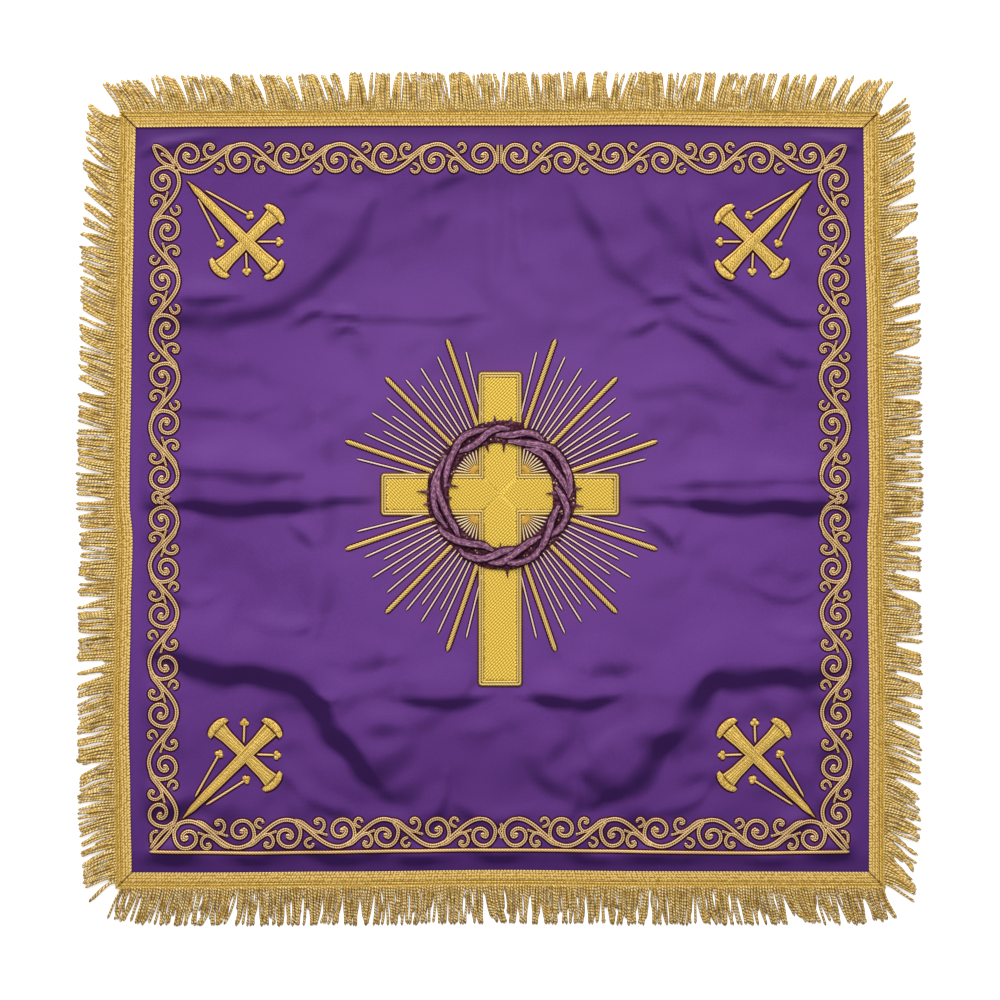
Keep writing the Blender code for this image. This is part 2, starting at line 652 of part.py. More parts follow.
def build_border_cord(collection, surfaces, material):
    """The straight cord below the bottom scroll."""
    stations = []
    for i in range(BORDER_CORD_STATIONS):
        along = -BORDER_CORD_HALF_LENGTH + 2 * BORDER_CORD_HALF_LENGTH * i / (BORDER_CORD_STATIONS - 1)
        stations.append((along, BORDER_CORD_Y + border_rise(along), SCROLL_WIDTH))
    bm = bmesh.new()
    loft(bm, ribbon_rings(surfaces, stations, SCROLL_THICKNESS, corners=3))
    add_object("border_cord", bm, material, collection)


def main():
    clear_scene()
    veil = bpy.data.collections.new("chalice_veil")
    cutters = bpy.data.collections.new("joined_shapes")
    bpy.context.scene.collection.children.link(veil)
    bpy.context.scene.collection.children.link(cutters)
    materials = {name: make_material(name) for name in MATERIALS}

    panel = build_panel(veil, materials["satin"])
    for side in SATIN_EDGE_MM:
        build_fringe(side, veil, cutters, materials["gold_fringe"])
        build_braid(side, veil, materials["gold_braid"])

    on_cloth = surfaces_of([panel])
    cross = build_cross(veil, on_cloth, materials["gold_thread"])
    build_rays(veil, on_cloth, materials["gold_thread"])
    for corner in NAILS_MM:
        build_nails(corner, veil, cutters, on_cloth, materials["gold_thread"])
        build_pins(corner, veil, on_cloth, materials["gold_thread"])
    for side in SCROLLS_MM:
        build_scroll(side, veil, on_cloth, materials["gold_thread"])
    build_border_cord(veil, on_cloth, materials["gold_thread"])
    build_crown(veil, surfaces_of([panel, cross]), materials["mauve_thread"])


main()
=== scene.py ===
"""Looks of the chalice veil: purple satin with gold braid, a twisted cord fringe and raised gold
embroidery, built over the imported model.

Units are metres; x runs to the right and y up the cloth as the camera sees it. Embroidered lines are
swept strokes. A stroke's section is laid on what is below it, point by point, and its UV map holds the
length along it in centimetres and the place across it, from which the materials draw the stitches.
"""

import math

import bpy
import numpy as np
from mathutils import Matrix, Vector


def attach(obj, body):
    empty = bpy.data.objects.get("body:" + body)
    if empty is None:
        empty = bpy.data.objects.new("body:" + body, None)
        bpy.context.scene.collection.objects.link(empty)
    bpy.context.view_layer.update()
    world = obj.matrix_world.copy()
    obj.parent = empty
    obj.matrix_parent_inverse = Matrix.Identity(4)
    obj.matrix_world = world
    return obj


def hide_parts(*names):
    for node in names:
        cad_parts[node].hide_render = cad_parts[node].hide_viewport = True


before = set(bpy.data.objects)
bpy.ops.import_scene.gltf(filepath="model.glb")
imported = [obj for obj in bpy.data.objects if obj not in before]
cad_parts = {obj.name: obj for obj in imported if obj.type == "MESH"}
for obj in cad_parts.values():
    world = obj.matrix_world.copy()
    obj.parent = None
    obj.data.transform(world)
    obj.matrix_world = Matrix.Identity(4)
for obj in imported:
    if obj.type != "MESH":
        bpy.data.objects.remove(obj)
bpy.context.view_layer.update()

MM = 0.001
CM = 0.01
SEED = 7

# The photo's scale: millimetres for one of its pixels, and the cloth's middle in it
PIXEL_MM = 0.7067
PHOTO_MIDDLE = (499.5, 498.5)

# Cloth, as in the part's source
CLOTH_THICKNESS = 1.2 * MM
CLOTH_UNDER_BRAID = 6.0 * MM
EDGE_FADE = 16 * MM
HEM_FADE = 4 * MM
RIPPLE_BASE, RIPPLE_SOFT = 1.0 * MM, 0.5 * MM
CROSS_CALM, CROSS_HOLD = 40 * MM, 8 * MM
FOLD_BLEND_POWER = 3
CLOTH_CELLS = 184
CURVE_PARTS = 12
HEIGHT_CELL = 1.0 * MM
HEIGHT_REACH = 285 * MM

SATIN_EDGE_MM = {
    "top": ((-256.9, 262.0), (-197, 262.6), (-85, 263.2), (28, 263.3), (99, 263.9), (197, 262.8),
            (256.9, 262.0)),
    "bottom": ((-259.7, -264.0), (-212, -264.1), (-113, -263.4), (0, -262.2), (113, -263.2),
               (260.8, -263.6)),
    "left": ((-259.7, -264.0), (-260.6, -213), (-261.8, -150), (-260.4, -86), (-259.0, -29),
             (-261.2, 0), (-259.7, 112), (-258.3, 197), (-256.9, 262.0)),
    "right": ((260.8, -263.6), (261.1, -150), (259.9, -57), (259.7, -29), (261.1, 0), (259.7, 112),
              (257.6, 197), (256.9, 262.0)),
}
SIDES = {  # the direction along each side and the direction out of the cloth
    "top": ((1, 0), (0, 1)),
    "bottom": ((1, 0), (0, -1)),
    "left": ((0, 1), (-1, 0)),
    "right": ((0, 1), (1, 0)),
}

# Folds as soft ridges. Columns: height, width of the flank on the left of the line, width of the flank
# on its right, then the line's points (mm). The first group follows the part's own folds.
FOLDS_MM = (
    (3.3, 60, 15, ((-230, -1.5), (-205, 0.4), (-175, -0.3), (-150, 0.4), (-128, -1))),
    (1.3, 30, 5, ((-262, -3.5), (-240, -4), (-216, -2.5))),
    (1.1, 30, 4, ((-142, -1), (-112, -0.5), (-86, -1))),
    (3.3, 60, 14, ((126, -1), (150, 0.6), (175, 0), (205, 0.5), (240, -1.5))),
    (1.3, 30, 5, ((228, -2.5), (244, -4), (262, -3.5))),
    (1.1, 30, 4, ((86, -1), (110, -0.5), (138, -1))),
    (1.8, 44, 17, ((-255, 134), (-200, 134), (-162, 140), (-127, 163), (-109, 184), (-92, 210))),
    (0.8, 30, 8, ((-112, 130), (-60, 129), (-14, 129))),
    (1.8, 24, 12, ((130, 228), (149, 168), (162, 156), (178, 148), (197, 135), (209, 127), (224, 126))),
    (1.2, 34, 20, ((99, 231), (118, 206), (137, 184), (146, 170))),
    (1.2, 30, 15, ((54, 222), (71, 195), (87, 167), (103, 149))),
    (1.8, 30, 13, ((124, 126), (149, 116), (168, 102), (188, 88), (201, 81))),
    (1.2, 18, 11, ((190, 112), (206, 101), (221, 96))),
    (4.2, 46, 21, ((-240, -108), (-210, -109), (-192, -115), (-155, -117), (-135, -127), (-119, -144),
                   (-98, -174), (-78, -204))),
    (4.2, 46, 21, ((68, -212), (90, -192), (112, -165), (132, -137), (152, -119), (184, -117), (240, -118))),
    (2.6, 30, 12, ((-74, -140), (-40, -139), (-8, -137))),
    (2.6, 30, 12, ((16, -138), (48, -139), (82, -139))),
)
SMALL_FOLDS_MM = (
    (1.9, 26, 14, ((-229, 24), (-185, 23), (-141, 18))),
    (0.9, 20, 6, ((112, 10), (180, 14), (233, 14))),
    (1.4, 16, 9, ((-228, 143), (-185, 144))),
    (1.0, 9, 5, ((-148, 122), (-134, 132), (-121, 131))),
    (0.9, 7, 5, ((-120, 130), (-108, 131), (-98, 126))),
    (0.7, 6, 4, ((-118, 117), (-106, 122), (-96, 116))),
    (1.2, 12, 8, ((132, 161), (144, 149), (159, 140))),
    (1.1, 10, 7, ((133, 140), (145, 133), (166, 126))),
    (1.0, 8, 5, ((105, 140), (116, 143), (130, 143))),
    (1.1, 9, 7, ((91, 117), (103, 124), (114, 127))),
    (0.8, 6, 4, ((-131, -137), (-120, -143), (-113, -138))),
    (0.4, 12, 12, ((-6, 130), (-6, 233))),
    (0.5, 10, 10, ((16, 165), (12, 218))),
    (0.6, 12, 12, ((-44, 190), (-50, 225))),
    (1.5, 30, 16, ((-117, -113), (-77, -112))),
    (1.5, 30, 16, ((50, -115), (98, -116))),
    (0.9, 14, 16, ((-128, 60), (-127, -5), (-129, -95))),
    (0.8, 26, 12, ((-240, 68), (-190, 64), (-160, 66))),
    (0.9, 22, 14, ((100, 76), (135, 84), (165, 72))),
    (1.2, 14, 9, ((-66, -236), (-46, -222), (-38, -196))),
    (1.0, 14, 9, ((38, -234), (52, -216), (52, -192))),
    (1.0, 12, 8, ((-150, -196), (-128, -214), (-96, -226))),
    (1.0, 12, 8, ((110, -222), (136, -214), (150, -200))),
    (1.0, 14, 8, ((-106, -232), (-78, -226), (-56, -232))),
    (0.9, 14, 8, ((-30, -216), (-8, -226), (20, -222))),
    (1.0, 16, 8, ((86, -162), (70, -178), (62, -196))),
    (1.3, 6, 5, ((-254, 243), (-242, 249), (-222, 253), (-200, 256))),
    (1.0, 6, 5, ((254, 246), (240, 252), (214, 256))),
    (0.7, 8, 5, ((-240, -253), (-222, -256))),
    (0.8, 9, 6, ((-186, -254), (-160, -256))),
    (0.8, 9, 6, ((-128, -254), (-96, -255))),
    (0.8, 9, 6, ((-74, -253), (-44, -254))),
    (0.8, 9, 6, ((-14, -252), (14, -253))),
    (0.8, 9, 6, ((50, -253), (80, -254))),
    (0.8, 9, 6, ((110, -254), (138, -255))),
    (0.8, 9, 6, ((174, -255), (204, -256))),
    (0.8, 16, 8, ((-60, 214), (-40, 226), (-20, 230))),
    (0.6, 14, 8, ((-150, 216), (-128, 228))),
    (1.2, 14, 9, ((104, -14), (118, -22), (126, -36))),
    (1.2, 14, 9, ((-146, -18), (-136, -24), (-126, -38))),
    (0.9, 14, 8, ((180, -62), (206, -70), (226, -62))),
    (0.9, 14, 8, ((190, -92), (212, -98), (232, -94))),
    (0.8, 14, 8, ((-236, -66), (-214, -72), (-196, -66))),
    (0.8, 14, 8, ((-180, -84), (-150, -92), (-124, -86))),
)
RIDGE_END, RIDGE_STEP_MM = 24 * MM, 6.0
RIDGE_END_WIDTH, RIDGE_END_HEIGHT = 0.5, 0.35
FLANK_SWELL, FLANK_SWELL_LENGTH = 0.14, 9 * MM
RIPPLES_MM = (  # height, then how fast it changes across and up (waves a metre) and its phase
    (0.30, 3.1, 5.3, 0.4), (0.22, -3.9, 7.3, 1.9), (0.10, 7.1, 9.7, 4.0),
)
WRINKLE_WAVES, WRINKLE_SEED = 30, 11
WRINKLE_LENGTHS = (16 * MM, 60 * MM)
WRINKLE_SLOPE = 0.012
CRUMPLE_WAVES, CRUMPLE_LENGTHS, CRUMPLE_SLOPE = 30, (20 * MM, 54 * MM), 0.036
CALM_RADIUS, CALM_REACH = 70 * MM, 90 * MM
LOW_START, LOW_REACH = 110 * MM, 80 * MM
WRINKLE_CALM, WRINKLE_LOW, CRUMPLE_LOW = (0.35, 0.65), (0.8, 0.8), (0.12, 0.88)
SIDEWAYS_WAVES, PATCH_SIZE, PATCH_PHASE, PATCH_SHARE = 0.75, 3.1, 1.7, 0.75

# Braid and heading: how far out each lengthwise ridge lies and how high it is (mm)
BRAID_BASE = 1.3 * MM
BRAID_SECTION_MM = (
    (0.0, 0.0), (0.05, 0.95), (0.55, 1.25), (1.0, 0.95), (1.25, 0.8), (1.9, 1.15), (2.6, 0.85),
    (3.3, 1.2), (4.1, 0.88), (4.9, 1.2), (5.7, 0.85), (6.6, 1.12), (7.3, 0.95), (7.6, 0.5), (7.7, 0.0),
)
BRAID_STEP = 1.6 * MM
HEADING_SECTION_MM = (
    (7.4, -1.2), (7.6, 0.5), (8.0, 0.75), (8.7, 0.95), (9.4, 0.75), (9.8, 0.5), (10.2, 0.75),
    (10.7, 0.8), (11.3, 0.75), (11.7, 0.35), (11.8, -0.9),
)

# Fringe cords
CORD_RADIUS = 0.9 * MM
CORD_RADIUS_SHARES = 0.98, 0.06  # the middle one and how far they stray
CORD_RAISED, CORD_PILED, PILE_SHARE, CORD_UNDER_HEADING = 0.65 * MM, 1.0 * MM, 0.8, 0.35 * MM
CORD_STRAY, CORD_BOW, CORD_WAVE, CORD_WAVES = 0.95 * MM, 0.6 * MM, 0.28 * MM, 8
CORD_LEAN_POWERS = 1.15, 1.6
CORD_LEAN_COST, CORD_LEAST_LEVEL = 0.95, 0.6
CORD_END, CORD_KNOT, CORD_KNOT_START, CORD_KNOT_REACH = 0.04, 0.14, 0.86, 0.06
CORD_LENGTH_STRAY_MM = -1.5, 0.6
AT_GAP = 0.6
CORD_RINGS, UNDER_RINGS = 20, 12
CORD_CORNERS = 6
CORD_PITCH = 1.97 * MM
CORD_ROOT_OUT = 10.6 * MM
HEADING_EDGE_OUT = 11.6 * MM
CORNER_SHORTER, CORNER_REACH = 2.6 * MM, 22 * MM
UNDER_LENGTHS, UNDER_AT_GAP = (0.55, 0.93), 0.35
LONGEST_CORD = 26 * MM


def from_photo(*places):
    """Places in the photo as metres on the cloth."""
    scale = PIXEL_MM * MM
    return [((x - PHOTO_MIDDLE[0]) * scale, (PHOTO_MIDDLE[1] - y) * scale) for x, y in places]


def ease(share):
    """An even share turned into one that starts and ends gently."""
    return share * share * (3 - 2 * share)


def rising(value, start, reach):
    """From 0 at start to 1 once reach further on, gently."""
    return ease(np.clip((value - start) / reach, 0, 1))


def read_table(table, at):
    """Values of a table of (position, value) rows, easing between the rows."""
    places = np.array([row[0] for row in table], float)
    values = np.array([row[1] for row in table], float)
    at = np.clip(at, places[0], places[-1])
    row = np.clip(np.searchsorted(places, at, side="right") - 1, 0, len(places) - 2)
    share = (at - places[row]) / (places[row + 1] - places[row])
    return values[row] + (values[row + 1] - values[row]) * ease(share)


def distances(path):
    """How far along a path each of its points lies."""
    return np.concatenate(([0], np.cumsum(np.linalg.norm(np.diff(path, axis=0), axis=1))))


def unit(vector):
    return vector / np.linalg.norm(vector)


def leftward_of(direction):
    return np.array((-direction[1], direction[0]))


def clock(degrees):
    """The direction that is so many degrees clockwise from straight up the cloth."""
    return np.array((math.sin(math.radians(degrees)), math.cos(math.radians(degrees))))


def edge_table(side):
    """The satin's visible edge as (place along the side, place across it) rows in metres."""
    axis = 0 if SIDES[side][0][0] else 1
    return [(row[axis] * MM, row[1 - axis] * MM) for row in SATIN_EDGE_MM[side]]


def edge_points(side, share, out):
    """Points beside the satin's visible edge, mitred at the ends."""
    axis = 0 if SIDES[side][0][0] else 1
    table = edge_table(side)
    first, last = table[0][0], table[-1][0]
    along = first + (last - first) * share
    across = read_table(table, along)
    along = along + (2 * share - 1) * out
    across = across + SIDES[side][1][1 - axis] * out
    return np.stack((along, across) if axis == 0 else (across, along), axis=-1)


def curve(points, step):
    """A smooth curve through points, resampled at even steps."""
    points = np.array(points, float)
    padded = np.vstack((2 * points[0] - points[1], points, 2 * points[-1] - points[-2]))
    t = np.linspace(0, 1, CURVE_PARTS, endpoint=False)[:, None]
    parts = []
    for a, b, c, d in zip(padded, padded[1:], padded[2:], padded[3:]):
        parts.append(0.5 * (2 * b + (c - a) * t + (2 * a - 5 * b + 4 * c - d) * t ** 2
                            + (3 * b - a - 3 * c + d) * t ** 3))
    return resample(np.vstack(parts + [padded[-2][None]]), step)


def resample(points, step):
    """The path at even steps of about the size given."""
    points = np.array(points, float)
    lengths = distances(points)
    at = np.linspace(0, lengths[-1], max(2, round(lengths[-1] / step)) + 1)
    return np.stack([np.interp(at, lengths, points[:, i]) for i in range(points.shape[1])], axis=-1)


def ridge_heights(x, y, folds):
    """Sum of soft ridges, blended so that crossing ones don't add up."""
    total = np.zeros(x.shape)
    for height, left_flank, right_flank, line in folds:
        line = curve(line, RIDGE_STEP_MM) * MM
        reach = max(left_flank, right_flank) * MM
        inside = ((x > line[:, 0].min() - reach) & (x < line[:, 0].max() + reach)
                  & (y > line[:, 1].min() - reach) & (y < line[:, 1].max() + reach))
        px, py = x[inside], y[inside]
        nearest, leftward, passed = np.full(px.shape, 1.0), np.zeros(px.shape), np.zeros(px.shape)
        travelled = 0.0
        for (ax, ay), (bx, by) in zip(line, line[1:]):
            dx, dy = bx - ax, by - ay
            length = math.hypot(dx, dy)
            share = np.clip(((px - ax) * dx + (py - ay) * dy) / length ** 2, 0, 1)
            distance = np.hypot(px - ax - share * dx, py - ay - share * dy)
            closer = distance < nearest
            nearest = np.where(closer, distance, nearest)
            leftward = np.where(closer, (dx * (py - ay) - dy * (px - ax)) / length, leftward)
            passed = np.where(closer, travelled + share * length, passed)
            travelled += length
        side = 0.5 + 0.5 * np.clip(leftward / np.maximum(nearest, 1e-6), -1, 1)
        ends = rising(np.minimum(passed, travelled - passed), 0, min(RIDGE_END, travelled / 3))
        swell = 1 + FLANK_SWELL * np.sin(passed / FLANK_SWELL_LENGTH + height)
        flank = (right_flank + (left_flank - right_flank) * ease(side)) * MM * swell
        flank = flank * (RIDGE_END_WIDTH + (1 - RIDGE_END_WIDTH) * ends)
        tall = height * MM * (RIDGE_END_HEIGHT + (1 - RIDGE_END_HEIGHT) * ends)
        ridge = tall * 0.5 * (1 + np.cos(math.pi * np.minimum(nearest / flank, 1.0)))
        total[inside] += ridge ** FOLD_BLEND_POWER
    return total ** (1 / FOLD_BLEND_POWER)


def wrinkle_heights(x, y):
    """Fine uneven waves of the satin, calmer round the stiff cross, with crumples in the lower quarter."""
    random = np.random.default_rng(WRINKLE_SEED)
    low = rising(-y, LOW_START, LOW_REACH)
    calm = rising(np.hypot(x, y), CALM_RADIUS, CALM_REACH)
    wrinkled = (WRINKLE_CALM[0] + WRINKLE_CALM[1] * calm) * (WRINKLE_LOW[0] + WRINKLE_LOW[1] * low)
    crumpled = CRUMPLE_LOW[0] * calm + CRUMPLE_LOW[1] * low
    total = np.zeros(x.shape)
    for count, (shortest, longest), steepness, amount in (
            (WRINKLE_WAVES, WRINKLE_LENGTHS, WRINKLE_SLOPE, wrinkled),
            (CRUMPLE_WAVES, CRUMPLE_LENGTHS, CRUMPLE_SLOPE, crumpled)):
        waves, patches = np.zeros(x.shape), np.zeros(x.shape)
        for _ in range(count):
            length = shortest * (longest / shortest) ** random.uniform(0, 1)
            turn = random.uniform(0, math.tau)
            phase = random.uniform(0, math.tau)
            slope = steepness * random.uniform(0.4, 1.0)
            wave = math.tau / length * (SIDEWAYS_WAVES * math.cos(turn) * x + math.sin(turn) * y)
            waves += slope * length / math.tau * np.sin(wave + phase)
            patches += np.sin(wave / PATCH_SIZE + PATCH_PHASE * phase)
        total += waves * (1 + PATCH_SHARE * np.tanh(1.5 * patches / math.sqrt(count / 2))) * amount
    return total


def fold_heights(x, y):
    """Height of the cloth's underside above the table."""
    beside = -in_cross(x, y)
    waves = wrinkle_heights(x, y) + RIPPLE_BASE
    for height, across, up, phase in RIPPLES_MM:
        waves = waves + height * MM * np.sin(math.tau * (across * x + up * y) + phase)
    waves = 0.5 * (waves + np.sqrt(waves ** 2 + RIPPLE_SOFT ** 2))
    waves = waves * rising(beside, 0, CROSS_CALM)
    half_width, half_depth = SATIN_EDGE_MM["top"][-1][0] * MM, SATIN_EDGE_MM["top"][-1][1] * MM
    inside = np.minimum(half_width - np.abs(x), half_depth - np.abs(y))
    heights = ridge_heights(x, y, FOLDS_MM) * rising(beside, 0, CROSS_HOLD) + waves
    small = ridge_heights(x, y, SMALL_FOLDS_MM) * rising(inside, 0, HEM_FADE)
    return heights * rising(inside, 0, EDGE_FADE) + small


def height_grid():
    """Heights of the cloth's underside on an even grid."""
    places = np.arange(-HEIGHT_REACH, HEIGHT_REACH + HEIGHT_CELL / 2, HEIGHT_CELL)
    x, y = np.meshgrid(places, places)
    return fold_heights(x, y)


def on_floor(x, y):
    return np.zeros(np.shape(x))


def on_cloth(x, y):
    """Height of the cloth's upper side."""
    column, row = (np.clip((place + HEIGHT_REACH) / HEIGHT_CELL, 0, len(HEIGHTS) - 1.001) for place in (x, y))
    c, r = column.astype(int), row.astype(int)
    u, v = column - c, row - r
    low = HEIGHTS[r, c] * (1 - u) + HEIGHTS[r, c + 1] * u
    high = HEIGHTS[r + 1, c] * (1 - u) + HEIGHTS[r + 1, c + 1] * u
    return low * (1 - v) + high * v + CLOTH_THICKNESS


class Mesh:
    """Collects closed skins and turns them into one piece."""

    def __init__(self):
        self.points, self.faces, self.uvs, self.count = [], [], [], 0

    def add_skin(self, rings, uvs, looped=False):
        """Joins rings, an array (rings, corners, 3), into a closed skin; uvs is (rings, corners, 2).

        Seen along the way that the rings follow, a ring runs over the top from right to left.
        """
        number, corners = rings.shape[:2]
        index = np.arange(number * corners).reshape(number, corners) + self.count
        first, second = (index, np.roll(index, -1, axis=0)) if looped else (index[:-1], index[1:])
        quads = np.stack((first, second, np.roll(second, -1, axis=1), np.roll(first, -1, axis=1)), axis=-1)
        self.faces += quads.reshape(-1, 4).tolist()
        if not looped:
            for ring, flip in ((index[0], False), (index[-1], True)):
                low, high = 0, corners - 1
                while high - low >= 2:
                    face = [ring[low], ring[low + 1], ring[high - 1], ring[high]]
                    face = face[:2] + face[3:] if high - low == 2 else face
                    face = [int(i) for i in face]
                    self.faces.append(face[::-1] if flip else face)
                    low, high = low + 1, high - 1
        self.points.append(rings.reshape(-1, 3))
        self.uvs.append(uvs.reshape(-1, 2))
        self.count += number * corners

    def piece(self, name, material, slot, replaces=()):
        mesh = bpy.data.meshes.new(name)
        mesh.from_pydata(np.vstack(self.points).tolist(), [], self.faces)
        layer = mesh.uv_layers.new(name="stitches")
        corner = np.zeros(len(mesh.loops), int)
        mesh.loops.foreach_get("vertex_index", corner)
        layer.data.foreach_set("uv", np.vstack(self.uvs)[corner].ravel())
        mesh.shade_smooth()
        mesh.materials.append(MATERIALS[material])
        return finish_piece(mesh, name, replaces)


def finish_piece(mesh, name, replaces):
    """Makes a piece of the mesh on the cloth's body, and hides the parts that it stands for."""
    obj = bpy.data.objects.new(name, mesh)
    bpy.context.scene.collection.objects.link(obj)
    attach(obj, "root")
    if replaces:
        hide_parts(*replaces)
    return obj


SHARPEST = 0.35  # keeps the normals at sharp corners from growing too long


def left_normals(path, looped=False):
    """Unit normals on the left of a path, lengthened at sharp corners so that widths stay even."""
    if looped:
        before, after = path - np.roll(path, 1, axis=0), np.roll(path, -1, axis=0) - path
    else:
        steps = np.diff(path, axis=0)
        before, after = np.vstack((steps[:1], steps)), np.vstack((steps, steps[-1:]))
    before = before / np.linalg.norm(before, axis=1)[:, None]
    after = after / np.linalg.norm(after, axis=1)[:, None]
    middle = before + after
    middle = middle / np.maximum(np.linalg.norm(middle, axis=1), 1e-9)[:, None]
    stretch = 1 / np.maximum(np.sum(middle * after, axis=1), SHARPEST)
    return np.stack((-middle[:, 1], middle[:, 0]), axis=-1) * stretch[:, None]


def mirrored(*half):
    """A symmetric section from the rows of its right half, up to the middle."""
    return half + tuple((-share, -more, height) for share, more, height in reversed(half) if share)


# Sections. Columns: place across as a share of the half width, more of it in mm, height as a share.
DOUBLE_CORD = mirrored((-1, -1.05, 0.0), (-1, 0, 0.3), (-0.62, 0, 1.0), (-0.25, 0, 0.8), (0, 0, 0.25))
SINGLE_CORD = mirrored((-1, -0.95, 0.0), (-1, 0, 0.3), (-0.5, 0, 0.9), (0, 0, 1.0))
NAIL_SHAFT = mirrored((-1, -1.1, 0.0), (-1, 0, 0.35), (-0.84, 0, 1.0), (-0.68, 0, 0.6), (-0.5, 0, 0.85),
                      (0, 0, 0.95))
NAIL_HEAD = mirrored((-1, -1.1, 0.0), (-1, 0, 0.35), (-0.75, 0, 0.8), (-0.3, 0, 0.95))
BARE_CORD = mirrored((-1, 0, 0.0), (-0.8, 0, 0.6), (-0.4, 0, 0.95))
FLAT_PATCH = mirrored((-1, 0, 0.0), (-0.97, 0, 1.0))
CROWN_SECTION = mirrored((-1, 0, -0.2), (-0.93, 0, 0.55), (-0.6, 0, 1.0), (0, 0, 0.9))
STROKE_LIFT = 0.14 * MM
FLANGE_ROOM = 0.3
STEM = ((-1, 0, -0.1), (-0.9, 0, 0.5), (-0.62, 0, 0.86), (-0.4, 0, 0.72), (-0.1, 0, 1.0), (0.2, 0, 0.8),
        (0.5, 0, 0.95), (0.85, 0, 0.5), (1, 0, -0.1))
OUTLINE_SHARE = 1.5

# How wide strokes are at their start and end, as shares, and the share of the length that they ease over
TAPER_REACH = 0.12
END_HEIGHT = 0.4
STROKE_ENDS, LEAF_ENDS, TIE_ENDS = (0.8, 0.8), (0.9, 0.7), (0.9, 0.9)
BRANCH_ENDS, HOOK_ENDS, HOOK_SHARE = (0.5, 0.9), (0.6, 0.9), 0.95
VOLUTE_ENDS, BORDER_CORD_ENDS, ROW_ENDS = (0.9, 0.95, 0.06), (0.7, 0.7, 0.004), (0.5, 0.5, 0.05)
RAY_ENDS, THIN_RAY_ENDS, FAN_ENDS = (1.0, 0.45, 0.04), (1.0, 0.6, 0.04), (0.6, 0.6, 0.1)
CROWN_STEM_ENDS, CROWN_STEM_LOW_ENDS = (0.5, 0.5, 0.22), (0.6, 0.6, 0.15)
HEAD_ENDS, PIN_ENDS = (0.6, 0.6, 0.1), (0.6, 1.2, 0.1)


def sweep(mesh, path, width, height, section, ground, lift=0.0, looped=False, normals=None):
    """Adds a stroke. The width, height and lift are single values or one for each point of the path."""
    path = np.array(path, float)
    normals = left_normals(path, looped) if normals is None else normals
    section = np.array(section, float)
    share = section[:, 0]
    half = (np.zeros(len(path)) + width)[:, None] / 2
    across = share * half + section[:, 1] * MM * np.minimum(1, half / MM + FLANGE_ROOM)
    x = path[:, :1] + normals[:, :1] * across
    y = path[:, 1:] + normals[:, 1:] * across
    tall = (np.zeros(len(path)) + height)[:, None]
    z = ground(x, y) + section[:, 2] * tall + (np.zeros(len(path)) + lift + STROKE_LIFT)[:, None]
    marks = np.where(np.abs(section[:, 1]) > 0, np.sign(share) * OUTLINE_SHARE, share)
    uvs = np.stack(np.broadcast_arrays(distances(path)[:, None] / CM, marks[None, :]), axis=-1)
    mesh.add_skin(np.stack((x, y, z), axis=-1), uvs, looped)


def tapered(count, start, end, reach=TAPER_REACH):
    """Widths as shares: 1 along the stroke, easing to start and end at its two ends."""
    at = np.linspace(0, 1, count)
    rise = start + (1 - start) * ease(np.clip(at / reach, 0, 1))
    fall = end + (1 - end) * ease(np.clip((1 - at) / reach, 0, 1))
    return np.minimum(rise, fall)


SPECULAR = 0.12
BEAD_UNEVENNESS, BEAD_EDGE = 0.28, (0.2, 0.55)


